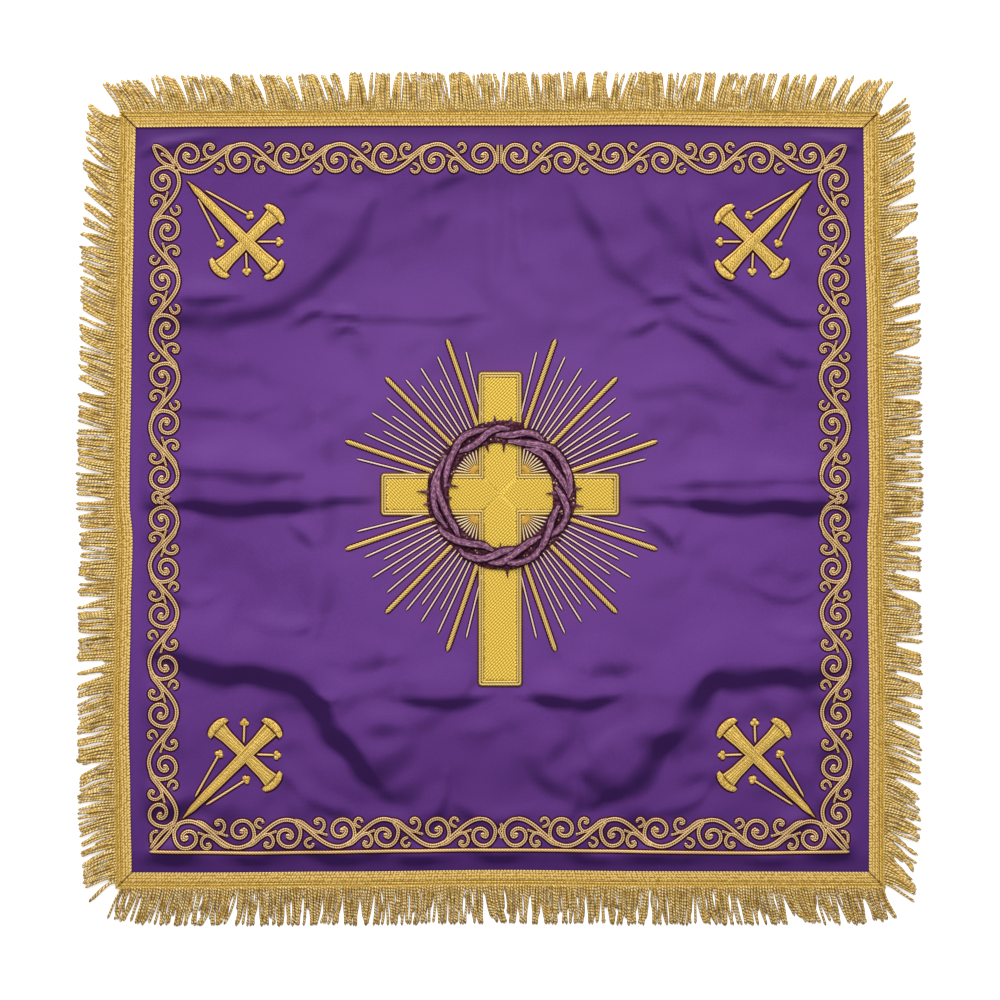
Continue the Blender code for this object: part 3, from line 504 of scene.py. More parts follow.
class Shader:
    """A small writer of node materials."""

    def __init__(self, name):
        self.material = bpy.data.materials.new(name)
        self.material.use_nodes = True
        self.tree = self.material.node_tree
        self.bsdf = self.tree.nodes["Principled BSDF"]
        self.bsdf.inputs["Specular IOR Level"].default_value = SPECULAR
        self.made = None

    def node(self, kind, **inputs):
        made = self.tree.nodes.new(kind)
        for key, value in inputs.items():
            socket = made.inputs[int(key[1:])] if key[0] == "i" and key[1:].isdigit() else made.inputs[key]
            self.put(socket, value)
        return made

    def put(self, socket, value):
        if isinstance(value, bpy.types.NodeSocket):
            self.tree.links.new(value, socket)
        else:
            socket.default_value = value

    def math(self, operation, first, second=0.0):
        made = self.node("ShaderNodeMath", i0=first, i1=second)
        made.operation = operation
        return made.outputs[0]

    def add(self, first, second):
        return self.math("ADD", first, second)

    def times(self, first, second):
        return self.math("MULTIPLY", first, second)

    def wave(self, value):
        """A smooth wave from 0 to 1, one for each whole number."""
        return self.times(self.add(self.math("COSINE", self.times(value, math.tau)), 1.0), 0.5)

    def step(self, value, low, high):
        """From 0 below low to 1 above high."""
        made = self.node("ShaderNodeMapRange", Value=value)
        made.interpolation_type = "SMOOTHSTEP"
        self.put(made.inputs["From Min"], low)
        self.put(made.inputs["From Max"], high)
        return made.outputs[0]

    def ramp(self, value, low, high, most):
        """From 0 at low to most at high, evenly, and no further."""
        made = self.node("ShaderNodeMapRange", Value=value)
        for key, number in (("From Min", low), ("From Max", high), ("To Max", most)):
            made.inputs[key].default_value = number
        return made.outputs[0]

    def mix(self, share, first, second):
        made = self.tree.nodes.new("ShaderNodeMix")
        made.data_type = "RGBA"
        self.put(made.inputs[0], share)
        self.put(made.inputs[6], first)
        self.put(made.inputs[7], second)
        return made.outputs[2]

    def stitches(self):
        """The two values of the UV map: length along in cm, and place across."""
        uv = self.node("ShaderNodeUVMap")
        uv.uv_map = "stitches"
        parts = self.node("ShaderNodeSeparateXYZ", i0=uv.outputs[0])
        return parts.outputs[0], parts.outputs[1]

    def place(self):
        """Where the point is on the cloth, in metres."""
        coordinates = self.tree.nodes.new("ShaderNodeTexCoord")
        parts = self.node("ShaderNodeSeparateXYZ", i0=coordinates.outputs["Object"])
        return parts.outputs[0], parts.outputs[1], coordinates.outputs["Object"]

    def noise(self, scale, detail=2.0, vector=None):
        made = self.node("ShaderNodeTexNoise", Scale=scale, Detail=detail)
        if vector is None:
            vector = self.place()[2]
        self.put(made.inputs["Vector"], vector)
        return made.outputs[0]

    def vector(self, x, y, z=0.0):
        return self.node("ShaderNodeCombineXYZ", i0=x, i1=y, i2=z).outputs[0]

    def chance(self, number):
        """A value from 0 to 1 that is fixed for each whole number."""
        made = self.tree.nodes.new("ShaderNodeTexWhiteNoise")
        made.noise_dimensions = "1D"
        self.put(made.inputs["W"], number)
        return made.outputs[0]

    def beads(self, x, y):
        """Uneven cells one unit apart, 1 in their middles and 0 between them."""
        made = self.tree.nodes.new("ShaderNodeTexVoronoi")
        made.voronoi_dimensions = "2D"
        self.put(made.inputs["Vector"], self.vector(x, y))
        self.put(made.inputs["Scale"], 1.0)
        self.put(made.inputs["Randomness"], BEAD_UNEVENNESS)
        return self.rest(self.step(made.outputs["Distance"], *BEAD_EDGE))

    def rest(self, value):
        """What a share leaves of 1."""
        return self.math("SUBTRACT", 1.0, value)

    def share(self, value, low, high, most):
        """From 0 below low to most above high."""
        return self.times(self.step(value, low, high), most)

    def blend(self, share, first, second):
        """A colour between two that are given as 0 to 255 values."""
        return self.mix(share, colour(*first), colour(*second))

    def coat(self, share, tone):
        """Lays a colour over what the surface has so far; the tone is 0 to 255 values or a socket."""
        self.made = self.mix(share, self.made, colour(*tone) if isinstance(tone, tuple) else tone)

    def finish(self, roughness, metallic, height, depth, strength):
        """Gives the surface its colour, gloss and relief, and hands back the material."""
        self.set(Base_Color=self.made, Roughness=roughness, Metallic=metallic)
        relief = self.node("ShaderNodeBump", Height=height, Distance=depth, Strength=strength)
        self.tree.links.new(relief.outputs[0], self.bsdf.inputs["Normal"])
        return self.material

    def set(self, **inputs):
        for key, value in inputs.items():
            self.put(self.bsdf.inputs[key.replace("_", " ")], value)


def colour(red, green, blue):
    """A colour from the usual 0 to 255 values, for a shader."""
    made = []
    for value in (red, green, blue):
        value /= 255
        made.append(value / 12.92 if value <= 0.04045 else ((value + 0.055) / 1.055) ** 2.4)
    return (*made, 1.0)


# Stitches and twists for each centimetre along a thread, and the satin's threads for each metre
SCROLL_TWISTS, SCROLL_DOTS, SCROLL_LEAN = 6.6, 5.3, 0.7
CORD_TWISTS, CORD_LEAN, CORD_TOP_TURN = 4.6, 1.3, 5 / 12
BRAID_BEADS, BRAID_ROWS, BRAID_CHEVRON, BRAID_STITCHES = 5.1, 5.0, 0.7, 4.4
HEADING_ROWS, HEADING_LEAN = 5.6, 0.5
FILL_STITCHES, THREAD_TWISTS = 4.2, 4.6
NAIL_LANES, NAIL_STITCHES, NAIL_CORD_TWISTS, NAIL_SEAM_DOTS, NAIL_FILL_LANES = 690, 420, 7.0, 5.0, 3.1
HEAD_STITCHES, STEM_THREADS, STEM_LANES = 9.0, 4.5, 5.0
WARP, WEFT = 1600, 1100

# Colours as 0 to 255 values
MAROON = (72, 21, 34)
# Satin: painted shade towards the top and bottom, painted light round the middle and on slopes facing the
# light, and a redder tone round the glory
PAINTED_SHADE_PURPLE, PAINTED_LIGHT_PURPLE, GLORY_PURPLE = (58, 22, 86), (124, 80, 156), (108, 52, 104)
# Satin: painted shadow of the braid at the hems, and painted shade on slopes turned from the light
BRAID_SHADOW_PURPLE, FOLD_SHADE_PURPLE = (44, 12, 70), (40, 10, 68)

# Where the satin's painted tones lie, in metres from the middle: painted shade towards the bottom and the
# top, a painted pool of light round the middle, a redder tone round the glory, and painted shadow of the
# braid along the hems
LOW_SATIN, LOWEST_SATIN, UPPER_SATIN = (0.11, 0.2), (0.19, 0.25), (0.06, 0.26)
GLOW_CENTRE, GLOW_REACH, GLORY_REACH = 0.05, (0.04, 0.24), (0.05, 0.115)
UPPER_BRAID_SHADOW, LOWER_BRAID_SHADOW = (0.236, 0.26), (0.247, 0.256)
# How the painted fold shade and painted light follow the slope: the weight of sideways slope, the slope of
# fullest painted shade, and the slope of fullest painted light
FALLING_LIGHT, STEEPEST, RISING = 0.45, 0.24, 0.3


def satin_material():
    """Satin with painted shade on slopes turned from the light and towards the top and bottom, painted light
    on slopes facing the light and round the middle, painted shadow of the braid at the hems, and a redder
    tone round the glory.
    """
    s = Shader("satin")
    x, y, _ = s.place()
    down = s.times(y, -1.0)
    grain = s.noise(900, 3.0)
    s.made = s.blend(s.step(s.noise(9), 0.3, 0.7), (88, 44, 120), (95, 50, 128))
    s.coat(s.share(grain, 0.35, 0.75, 0.25), (110, 66, 140))
    # painted shade: the satin darker towards the bottom and towards the top
    low = s.add(s.share(down, *LOW_SATIN, 0.36), s.share(down, *LOWEST_SATIN, 0.16))
    s.coat(s.add(s.share(y, *UPPER_SATIN, 0.22), low), PAINTED_SHADE_PURPLE)
    # painted light: a paler pool round the middle; then a redder tone round the glory
    for height, reach, most, tone in ((GLOW_CENTRE, GLOW_REACH, 0.28, PAINTED_LIGHT_PURPLE),
                                      (0.0, GLORY_REACH, 0.4, GLORY_PURPLE)):
        above = s.math("SUBTRACT", y, height)
        away = s.math("SQRT", s.add(s.times(x, x), s.times(above, above)))
        s.coat(s.times(s.rest(s.step(away, *reach)), most), tone)
    # painted shadow of the braid along the top and bottom hems
    s.coat(s.add(s.share(y, *UPPER_BRAID_SHADOW, 0.42), s.share(down, *LOWER_BRAID_SHADOW, 0.34)), BRAID_SHADOW_PURPLE)
    # painted shade on slopes turned from the light and painted light on slopes facing it, read from the
    # surface's normal
    normal = s.tree.nodes.new("ShaderNodeNewGeometry").outputs["Normal"]
    facing = s.node("ShaderNodeSeparateXYZ", i0=normal)
    sideways, upward = s.math("ABSOLUTE", facing.outputs[0]), facing.outputs[1]
    slope = s.math("SUBTRACT", s.times(sideways, FALLING_LIGHT), upward)
    s.coat(s.ramp(slope, 0.0, STEEPEST, 0.92), FOLD_SHADE_PURPLE)
    s.coat(s.ramp(upward, 0.0, RISING, 0.16), PAINTED_LIGHT_PURPLE)
    weave = s.add(s.times(s.wave(s.times(x, WARP)), 0.5), s.times(s.wave(s.times(y, WEFT)), 0.5))
    return s.finish(0.5, 0.0, s.add(weave, grain), 0.04 * MM, 0.6)


def stroke_material():
    """Two pale cords side by side, a dark dotted line between them and a maroon edge."""
    s = Shader("scroll_stitches")
    along, across = s.stitches()
    aside = s.math("ABSOLUTE", across)
    twist = s.wave(s.add(s.times(along, SCROLL_TWISTS), s.times(aside, SCROLL_LEAN)))
    s.made = s.blend(s.wave(s.times(along, SCROLL_DOTS)), (56, 18, 16), (178, 134, 74))
    s.coat(s.step(aside, 0.24, 0.46), s.blend(twist, (180, 138, 76), (255, 226, 176)))
    s.coat(s.step(aside, 0.84, 1.0), MAROON)
    return s.finish(0.5, 0.2, twist, 0.12 * MM, 0.5)


def thread_material(name, light, dark, edge=MAROON, pitch=THREAD_TWISTS, slant=0.6, root=None):
    """A single twisted cord with a darker edge, and a colour of its own at its root if one is given."""
    s = Shader(name)
    along, across = s.stitches()
    twist = s.wave(s.add(s.times(along, pitch), s.times(across, slant)))
    s.made = s.blend(twist, dark, light)
    if root:
        s.coat(s.rest(s.step(along, 0.35, 0.8)), root)
    s.coat(s.step(s.math("ABSOLUTE", across), 0.86, 1.02), edge)
    return s.finish(0.5, 0.2, twist, 0.12 * MM, 0.5)


def fringe_material(name, shade):
    """Twisted cords; the UV map's second value is a cord's number and how far round it a point is."""
    s = Shader(name)
    along, round_it = s.stitches()
    chance = s.chance(s.math("FLOOR", round_it))
    turn = s.math("FRACT", round_it)
    beside = s.times(s.math("ABSOLUTE", s.math("SUBTRACT", turn, CORD_TOP_TURN)), 4.0)
    phase = s.add(s.times(chance, 7.0), s.times(s.noise(150), 1.8))
    twist = s.wave(s.add(s.add(s.times(along, CORD_TWISTS), s.times(turn, CORD_LEAN)), phase))
    # painted shade: the cords of the bottom side darker and browner
    bottom = s.step(s.times(s.place()[1], -1.0), 0.268, 0.285)
    s.made = s.blend(bottom, (174, 136, 56), (128, 90, 20))
    s.coat(s.step(twist, 0.0, 0.6), (230, 194, 110))
    s.coat(s.times(bottom, 0.22), (116, 80, 10))
    # painted highlight: near-white glints on the crests of the twist
    s.coat(s.times(s.step(twist, 0.5, 0.95), s.share(s.noise(300), 0.38, 0.56, 0.75)), (255, 244, 204))
    # painted shade on each cord's sides, away from its top, where the cords shade one another
    s.coat(s.share(beside, 0.3, 0.85, 0.9), (96, 64, 8))
    # painted shade in random patches along the cords
    s.coat(s.share(s.noise(170), 0.5, 0.68, 0.55), (134, 98, 34))
    s.coat(s.times(chance, 0.3), (182, 142, 62))
    s.coat(s.share(along, 2.4, 2.7, 0.5), (116, 82, 28))
    # painted shade: the cords lying below are darkened by the share given as shade
    s.coat(shade, (104, 74, 26))
    return s.finish(0.55, 0.15, twist, 0.2 * MM, 0.6)


def braid_material():
    """Woven gold braid; the UV map's second value is the distance out in cm."""
    s = Shader("braid_weave")
    along, out = s.stitches()
    row = s.times(s.math("SUBTRACT", out, 0.125), BRAID_ROWS)
    in_row = s.math("SUBTRACT", s.math("FRACT", row), 0.5)
    chevron = s.times(s.math("ABSOLUTE", in_row), BRAID_CHEVRON)
    bead = s.beads(s.add(s.times(along, BRAID_BEADS), chevron), row)
    grain = s.noise(420)
    stitch = s.wave(s.times(along, BRAID_STITCHES))
    s.made = s.blend(bead, (154, 114, 40), (240, 205, 120))
    s.coat(s.times(s.wave(s.add(s.times(along, BRAID_BEADS / 2), chevron)), 0.15), (160, 122, 48))
    # painted highlight: pale glints where the grain is high
    s.coat(s.share(grain, 0.52, 0.72, 0.5), (244, 214, 144))
    s.coat(s.rest(s.step(out, 0.1, 0.12)), s.blend(s.step(stitch, 0.0, 0.6), (126, 84, 34), (244, 214, 140)))
    s.coat(s.rest(s.step(out, 0.01, 0.03)), (60, 24, 36))
    s.coat(s.step(out, 0.72, 0.75), s.blend(stitch, (122, 86, 26), (184, 142, 62)))
    # painted shade: the top side's braid a little darker
    s.coat(s.share(s.place()[1], 0.255, 0.262, 0.2), (156, 118, 40))
    return s.finish(0.52, 0.2, s.add(bead, s.times(grain, 0.5)), 0.2 * MM, 0.6)


def heading_material():
    """The fringe's heading: a beaded row, a wrapped cord and a dark groove between them."""
    s = Shader("fringe_heading")
    along, out = s.stitches()
    beads = s.times(along, BRAID_BEADS)
    bead = s.beads(beads, s.times(s.math("SUBTRACT", out, 0.79), HEADING_ROWS))
    cross = s.wave(s.add(beads, s.share(out, 0.98, 1.17, HEADING_LEAN)))
    dots = s.blend(s.wave(s.times(along, BRAID_STITCHES)), (120, 84, 28), (172, 132, 58))
    s.made = s.blend(bead, (160, 120, 36), (234, 198, 104))
    s.coat(s.step(out, 0.98, 0.99), s.blend(s.step(cross, 0.05, 0.6), (150, 112, 32), (232, 196, 106)))
    s.coat(s.times(s.step(out, 0.95, 0.965), s.rest(s.step(out, 0.995, 1.01))), dots)
    s.coat(s.rest(s.step(out, 0.785, 0.81)), dots)
    return s.finish(0.55, 0.15, s.add(bead, s.times(cross, 0.5)), 0.2 * MM, 0.5)


def fill_material():
    """Long satin stitches of the cross, each a raised row; the UV map's second value is the row."""
    s = Shader("cross_fill")
    along, row = s.stitches()
    chance = s.chance(s.math("FLOOR", row))
    dash = s.wave(s.add(s.times(along, FILL_STITCHES), s.times(chance, 3.0)))
    crest = s.wave(s.add(s.math("FRACT", row), 0.5))
    s.made = s.blend(s.step(crest, 0.05, 0.75), (146, 108, 16), (238, 200, 84))
    s.coat(s.share(dash, 0.3, 1.0, 0.4), (255, 226, 112))
    s.coat(s.times(s.rest(s.step(dash, 0.0, 0.1)), 0.35), (160, 118, 24))
    return s.finish(0.45, 0.25, dash, 0.06 * MM, 0.3)


def plain_thread_material(name, dark, light, scale=300, metallic=0.1):
    """Fine uneven thread of two tones."""
    s = Shader(name)
    grain = s.noise(scale)
    s.made = s.blend(s.step(grain, 0.35, 0.7), dark, light)
    return s.finish(0.5, metallic, grain, 0.2 * MM, 0.6)


def nail_material(name, lengthwise):
    """Pale edge cords, dark dotted lines inside them and fine fill stitches."""
    s = Shader(name)
    along, across = s.stitches()
    aside = s.math("ABSOLUTE", across)
    x, y, _ = s.place()
    lane = s.add(s.times(x, NAIL_LANES), s.times(s.noise(380), 2.2))
    fill = s.wave(s.times(across, NAIL_FILL_LANES) if lengthwise else lane)
    broken = s.wave(s.add(s.times(y, NAIL_STITCHES), s.times(s.math("FLOOR", lane), 0.37)))
    s.made = s.blend(s.step(fill, 0.0, 0.7), (168, 122, 36), (246, 210, 106))
    s.coat(s.share(s.noise(1100), 0.48, 0.64, 0.5), (132, 92, 26))
    # painted highlight: pale glints in fine flecks
    s.coat(s.share(s.noise(1500, 1.0), 0.54, 0.66, 0.6), (255, 238, 158))
    s.coat(s.times(s.rest(s.step(broken, 0.0, 0.4)), 0.55), (136, 94, 30))
    inner = s.times(s.step(aside, 0.6, 0.66), s.rest(s.step(aside, 0.72, 0.78)))
    s.coat(inner, s.blend(s.wave(s.times(along, NAIL_SEAM_DOTS)), (96, 58, 26), (180, 138, 58)))
    cord = s.blend(s.wave(s.times(along, NAIL_CORD_TWISTS)), (208, 164, 82), (246, 212, 128))
    s.coat(s.step(aside, 0.75, 0.8), cord)
    s.coat(s.step(aside, 0.92, 1.04), MAROON)
    return s.finish(0.5, 0.2, s.add(fill, s.times(broken, 0.5)), 0.12 * MM, 0.4)


def head_material():
    """A nail's head: fine stitches across it and a maroon edge."""
    s = Shader("nail_head")
    along, across = s.stitches()
    grain = s.noise(900)
    fine = s.wave(s.add(s.times(along, HEAD_STITCHES), s.times(grain, 0.8)))
    s.made = s.blend(s.step(grain, 0.38, 0.62), (184, 138, 48), (255, 224, 130))
    s.coat(s.times(fine, 0.55), (150, 106, 36))
    s.coat(s.step(s.math("ABSOLUTE", across), 0.9, 1.02), MAROON)
    return s.finish(0.5, 0.2, s.add(s.times(fine, 0.6), grain), 0.1 * MM, 0.4)


def stem_material():
    """A mauve stem of the crown: grainy threads with a ragged dark edge."""
    s = Shader("crown_stem")
    along, across = s.stitches()
    ragged = s.times(s.math("SUBTRACT", s.noise(330), 0.5), 0.5)
    drift = s.times(s.noise(55, 1.0), 1.6)
    lanes = s.wave(s.add(across, drift))
    lengthwise = s.vector(s.times(along, STEM_THREADS), s.times(across, STEM_LANES), drift)
    threads = s.noise(1.0, 3.0, lengthwise)
    s.made = s.blend(s.step(threads, 0.38, 0.68), (104, 60, 86), (190, 140, 168))
    s.coat(s.times(s.rest(s.step(lanes, 0.0, 0.35)), 0.7), (78, 34, 66))
    s.coat(s.share(s.noise(900), 0.5, 0.62, 0.5), (96, 50, 84))
    s.coat(s.step(s.math("ABSOLUTE", s.add(across, ragged)), 0.54, 0.7), (46, 10, 32))
    return s.finish(0.6, 0.0, s.add(lanes, s.times(threads, 0.8)), 0.3 * MM, 0.6)


def crown_base_material():
    """The dark ground under the crown's stems, with pale specks."""
    s = Shader("crown_ground")
    grain = s.noise(480, 3.0)
    speck = s.node("ShaderNodeTexVoronoi", Scale=430.0, Vector=s.place()[2])
    spot = s.rest(s.step(speck.outputs["Distance"], 0.15, 0.34))
    s.made = s.blend(s.step(grain, 0.42, 0.66), (50, 14, 30), (92, 46, 66))
    s.coat(s.times(spot, s.step(s.noise(160, 1.0), 0.5, 0.58)), (218, 180, 138))
    return s.finish(0.8, 0.0, grain, 0.4 * MM, 0.8)


MATERIALS = {
    "satin": satin_material(),
    "stroke": stroke_material(),
    "fringe": fringe_material("fringe_cord", 0.0),
    # the cords below: a copy of the cord material with painted shade
    "fringe_under": fringe_material("fringe_cord_below_painted_shade", 0.3),
    "braid": braid_material(),
    "heading": heading_material(),
    "fill": fill_material(),
    "rope": thread_material("gold_rope", (246, 214, 128), (142, 102, 36), pitch=4.3, slant=0.95),
    "border": thread_material("cross_border", (236, 208, 132), (190, 156, 76), edge=(128, 98, 34), pitch=5.0,
                              slant=0.3),
    "cream": thread_material("cream_thread", (255, 242, 228), (196, 160, 132)),
    "pin": thread_material("pin_thread", (246, 214, 150), (190, 146, 84)),
    "lower_cord": thread_material("border_cord_thread", (236, 202, 140), (170, 128, 76)),
    "gold_patch": plain_thread_material("fan_corner", (196, 152, 58), (236, 200, 112), scale=700),
    "plate": plain_thread_material("cross_ground", (176, 138, 44), (216, 178, 70)),
    "nail_slanted": nail_material("nail_fill", False),
    "nail_long": nail_material("nail_fill_lengthwise", True),
    "head": head_material(),
    "stem": stem_material(),
    "crown": crown_base_material(),
    "outline": plain_thread_material("dark_outline", (60, 18, 26), (92, 46, 42), metallic=0.0),
    "fan": plain_thread_material("fan_ground", (52, 18, 48), (78, 34, 66), metallic=0.0),
    "fan_thread": thread_material("fan_thread", (255, 238, 196), (222, 184, 112), root=(222, 178, 82)),
    "thorn": plain_thread_material("thorn", (62, 20, 40), (116, 66, 96), metallic=0.0),
}


def build_cloth():
    """The satin sheet, fine enough for the folds, on the outline that bows like the real hem."""
    share = np.linspace(0, 1, CLOTH_CELLS + 1)
    left, right = (edge_points(side, share, CLOTH_UNDER_BRAID) for side in ("left", "right"))
    bottom, top = (edge_points(side, share, CLOTH_UNDER_BRAID) for side in ("bottom", "top"))
    x = left[:, :1] + (right[:, :1] - left[:, :1]) * share[None, :]
    y = bottom[None, :, 1] + (top[None, :, 1] - bottom[None, :, 1]) * share[:, None]
    upper = on_cloth(x, y)
    number = CLOTH_CELLS + 1
    points = [np.stack((x, y, z), axis=-1).reshape(-1, 3) for z in (upper - CLOTH_THICKNESS, upper)]
    points = np.vstack(points)
    index = np.arange(number * number).reshape(number, number)
    quads = np.stack((index[:-1, :-1], index[:-1, 1:], index[1:, 1:], index[1:, :-1]), axis=-1).reshape(-1, 4)
    rim = np.concatenate((index[0, :-1], index[:-1, -1], index[-1, :0:-1], index[:0:-1, 0]))
    after = np.roll(rim, -1)
    total = number * number
    walls = np.stack((rim, after, after + total, rim + total), axis=-1)
    mesh = bpy.data.meshes.new("cloth")
    faces = quads[:, ::-1].tolist() + (quads + total).tolist() + walls.tolist()
    mesh.from_pydata(points.tolist(), [], faces)
    mesh.shade_smooth()
    mesh.materials.append(MATERIALS["satin"])
    return finish_piece(mesh, "cloth", ("satin_panel",))


def edge_band(side, section, base, step, name, material, slot, replaces=()):
    """A band along one side from a section of (distance out, height) rows in mm."""
    length = math.dist(SATIN_EDGE_MM[side][0], SATIN_EDGE_MM[side][-1]) * MM
    share = np.linspace(0, 1, round(length / step) + 1)
    rings, uvs = [], []
    for out, height in section:
        places = edge_points(side, share, out * MM)
        rings.append(np.column_stack((places, np.full(len(share), base + height * MM))))
        uvs.append(np.column_stack((share * length / CM, np.full(len(share), out * MM / CM))))
    mesh = Mesh()
    flip = side in ("bottom", "right")
    rings, uvs = np.stack(rings, axis=1), np.stack(uvs, axis=1)
    mesh.add_skin(rings[:, ::-1] if flip else rings, uvs[:, ::-1] if flip else uvs)
    return mesh.piece(name, material, slot, replaces)


# Where the fringe parts. Rows, all read along the side in the photo: the root of the gap, and the ends
# of the cords before and after it.
FRINGE_GAPS = {
    "top": (
        (120, 98, 100.3), (162, 142.5, 150), (190, 176, 178), (205, 193, 195), (238, 222.4, 230.4),
        (268, 254, 256.5), (305, 294, 298.4), (330, 318, 320.5), (348, 340, 348), (368.5, 363, 369),
        (389, 390, 392), (448, 443, 448), (476.5, 470, 473), (501, 500, 504.5), (532, 527, 530),
        (541, 538.5, 541), (563.5, 562, 565), (573, 571, 579), (587.5, 585.5, 593), (607, 607.3, 613),
        (618, 624.5, 627.5), (667, 664.5, 668), (674.5, 677.5, 685.3), (697, 703, 705),
        (714, 719.6, 724.5), (741, 747, 749), (758, 765, 767), (768, 777.6, 781), (783, 791.5, 793.5),
        (801, 809.4, 814.3), (808, 818.3, 825), (828, 839.6, 848), (842, 856.4, 863.5), (878, 894.3, 896),
    ),
    "bottom": (
        (120, 105, 107.2), (141, 130, 132.5), (161, 149, 152.4), (212.5, 205.2, 209.2),
        (237, 226.7, 230.2), (247.5, 240.2, 245.7), (259, 255, 259), (291.5, 291, 293),
        (305, 299, 304), (342.5, 337, 342.6), (361, 359, 362), (374, 370, 372), (435, 434.5, 437),
        (466, 463, 468), (482, 484, 494), (517, 516, 519), (531, 528, 531.7), (541.5, 540.3, 545.4),
        (563, 561.3, 566), (577, 576, 580), (587, 585.5, 589), (599, 598, 601), (638, 637, 639),
        (650, 646.5, 653), (661, 660, 663.3), (694, 695.8, 701.5), (702, 706.2, 710.8),
        (731, 732, 736.3), (735, 739.4, 744.3), (757, 762, 766), (780, 788.5, 798.6), (816, 821, 827.4),
        (835, 843, 848), (852, 861.5, 865), (859, 868.8, 871.5), (879, 891.2, 893), (884.5, 902.5, 905),
    ),
    "left": (
        (118, 97, 99.5), (171, 150, 158.8), (200.5, 174.5, 183), (219, 192.5, 202), (232, 209.5, 218),
        (240, 220.5, 229.8), (251, 237.5, 241.6), (268, 257.4, 262.3), (283, 264.3, 270.6),
        (302, 285.6, 289.4), (327, 309.6, 315.4), (331, 318.2, 322.5), (356, 338.6, 347.4),
        (382.6, 369, 373), (396, 382.6, 390), (410, 401.6, 404), (429, 419, 426.5), (475, 468.5, 473.8),
        (500, 497.5, 503.3), (511, 508.2, 514.9), (529, 528, 530), (551, 549, 552), (557, 555.5, 560.5),
        (580, 579.6, 584.5), (596.5, 596.5, 606.9), (608.6, 609, 613), (632, 632.3, 639.3),
        (661, 661.3, 671), (673, 673.7, 682), (691.5, 701, 705.3), (707, 718.5, 722.5),
        (727, 735, 737.5), (741, 745.4, 750.3), (760.5, 766, 775.5), (778, 786, 789.5),
        (800, 803.4, 806.5), (814, 820, 824), (828, 837.8, 843), (835, 845.4, 854.3), (846, 857, 860),
        (879, 890.4, 893), (883.5, 906, 908),
    ),
    "right": (
        (116, 93, 95.2), (140, 123, 129.6), (153, 139.5, 142.2), (167.4, 145, 150.2), (173, 153, 157),
        (191, 169.7, 177.8), (209, 192.7, 204.9), (214.5, 207.6, 211.8), (240, 220, 232),
        (265, 256.5, 260), (293, 283, 286), (307, 289.7, 300.5), (321, 311.3, 319.6), (327, 322, 327.8),
        (356, 343.6, 356.4), (396, 393.3, 396.7), (440, 437, 440), (458, 457, 461.5), (483, 482, 486),
        (519, 517.4, 520.7), (541, 539.8, 544.7), (571, 575.9, 580.4), (590, 594.1, 606),
        (610, 610.2, 615.2), (634, 634, 639.3), (641, 646, 649.5), (670, 675.4, 680),
        (694.8, 699.3, 704), (716, 726, 729), (720.5, 732, 738.8), (743, 753.8, 757),
        (750, 759.2, 765.9), (765, 775.3, 779.7), (776, 787.3, 793.6), (797, 815.5, 818.5),
        (812, 822, 827), (828, 842.2, 851.2), (838, 857, 863.2), (852, 874.4, 880), (881, 894.2, 898),
        (884.5, 904, 906),
    ),
}
CORD_LOOSE = {"top": 1.0, "bottom": 1.5, "left": 1.1, "right": 1.2}
CORD_LENGTHS_MM = {"top": (26.7, 26.7), "bottom": (26.9, 26.9), "left": (26.0, 27.4), "right": (26.9, 27.1)}


def cord_ends(side, shift=0.5):
    """Places of the cords' roots and ends along a side, in metres from the middle, and which are at a gap."""
    upright = side in ("left", "right")
    rows = np.array(FRINGE_GAPS[side])
    places = (PHOTO_MIDDLE[1] - rows if upright else rows - PHOTO_MIDDLE[0]) * PIXEL_MM * MM
    gaps = [tuple(row) for row in places]
    if upright:
        gaps = [(root, after, before) for root, before, after in gaps[::-1]]
    first, last = gaps[0][0], gaps[-1][0]
    count = round((last - first) / CORD_PITCH)
    roots = first + (last - first) * (np.arange(count) + shift) / count
    ends = np.zeros(count)
    for (root, _, after), (next_root, before, _) in zip(gaps, gaps[1:]):
        here = (roots >= root) & (roots < next_root)
        share = (roots[here] - root) / (next_root - root)
        inset = min(0.5, 0.5 * CORD_PITCH / (next_root - root))
        ends[here] = after + (before - after) * (inset + (1 - 2 * inset) * share)
    beside = np.min(np.abs(roots[:, None] - np.array(gaps)[None, :, 0]), axis=1)
    return roots, ends, beside < AT_GAP * CORD_PITCH


def build_fringe(side):
    """One side's fringe: twisted cords from under the heading, and shorter ones below them."""
    random = np.random.default_rng(SEED + list(SIDES).index(side))
    roots, ends, _ = cord_ends(side)
    shortest, longest = CORD_LENGTHS_MM[side]
    mesh, under = Mesh(), Mesh()
    for number, (root, end) in enumerate(zip(roots, ends)):
        near = min(root - roots[0], roots[-1] - root)
        shorter = CORNER_SHORTER * max(0.0, 1 - near / CORNER_REACH)
        share = (root - roots[0]) / (roots[-1] - roots[0])
        length = shortest + (longest - shortest) * share + random.uniform(*CORD_LENGTH_STRAY_MM)
        pile = random.uniform(0, CORD_PILED)
        add_cord(mesh, side, number, root, end, length * MM - shorter, CORD_RAISED, pile, random, CORD_RINGS)
    for number, (root, end, at_gap) in enumerate(zip(*cord_ends(side, 1.0))):
        share = random.uniform(*UNDER_LENGTHS) * (UNDER_AT_GAP if at_gap else 1.0)
        end = root + (end - root) * share
        add_cord(under, side, number, root, end, share * shortest * MM, 0.0, 0.0, random, UNDER_RINGS)
    return [mesh.piece(f"fringe_cords_{side}", "fringe", "gold_fringe", (f"fringe_{side}",)),
            under.piece(f"fringe_under_{side}", "fringe_under", "gold_fringe")]


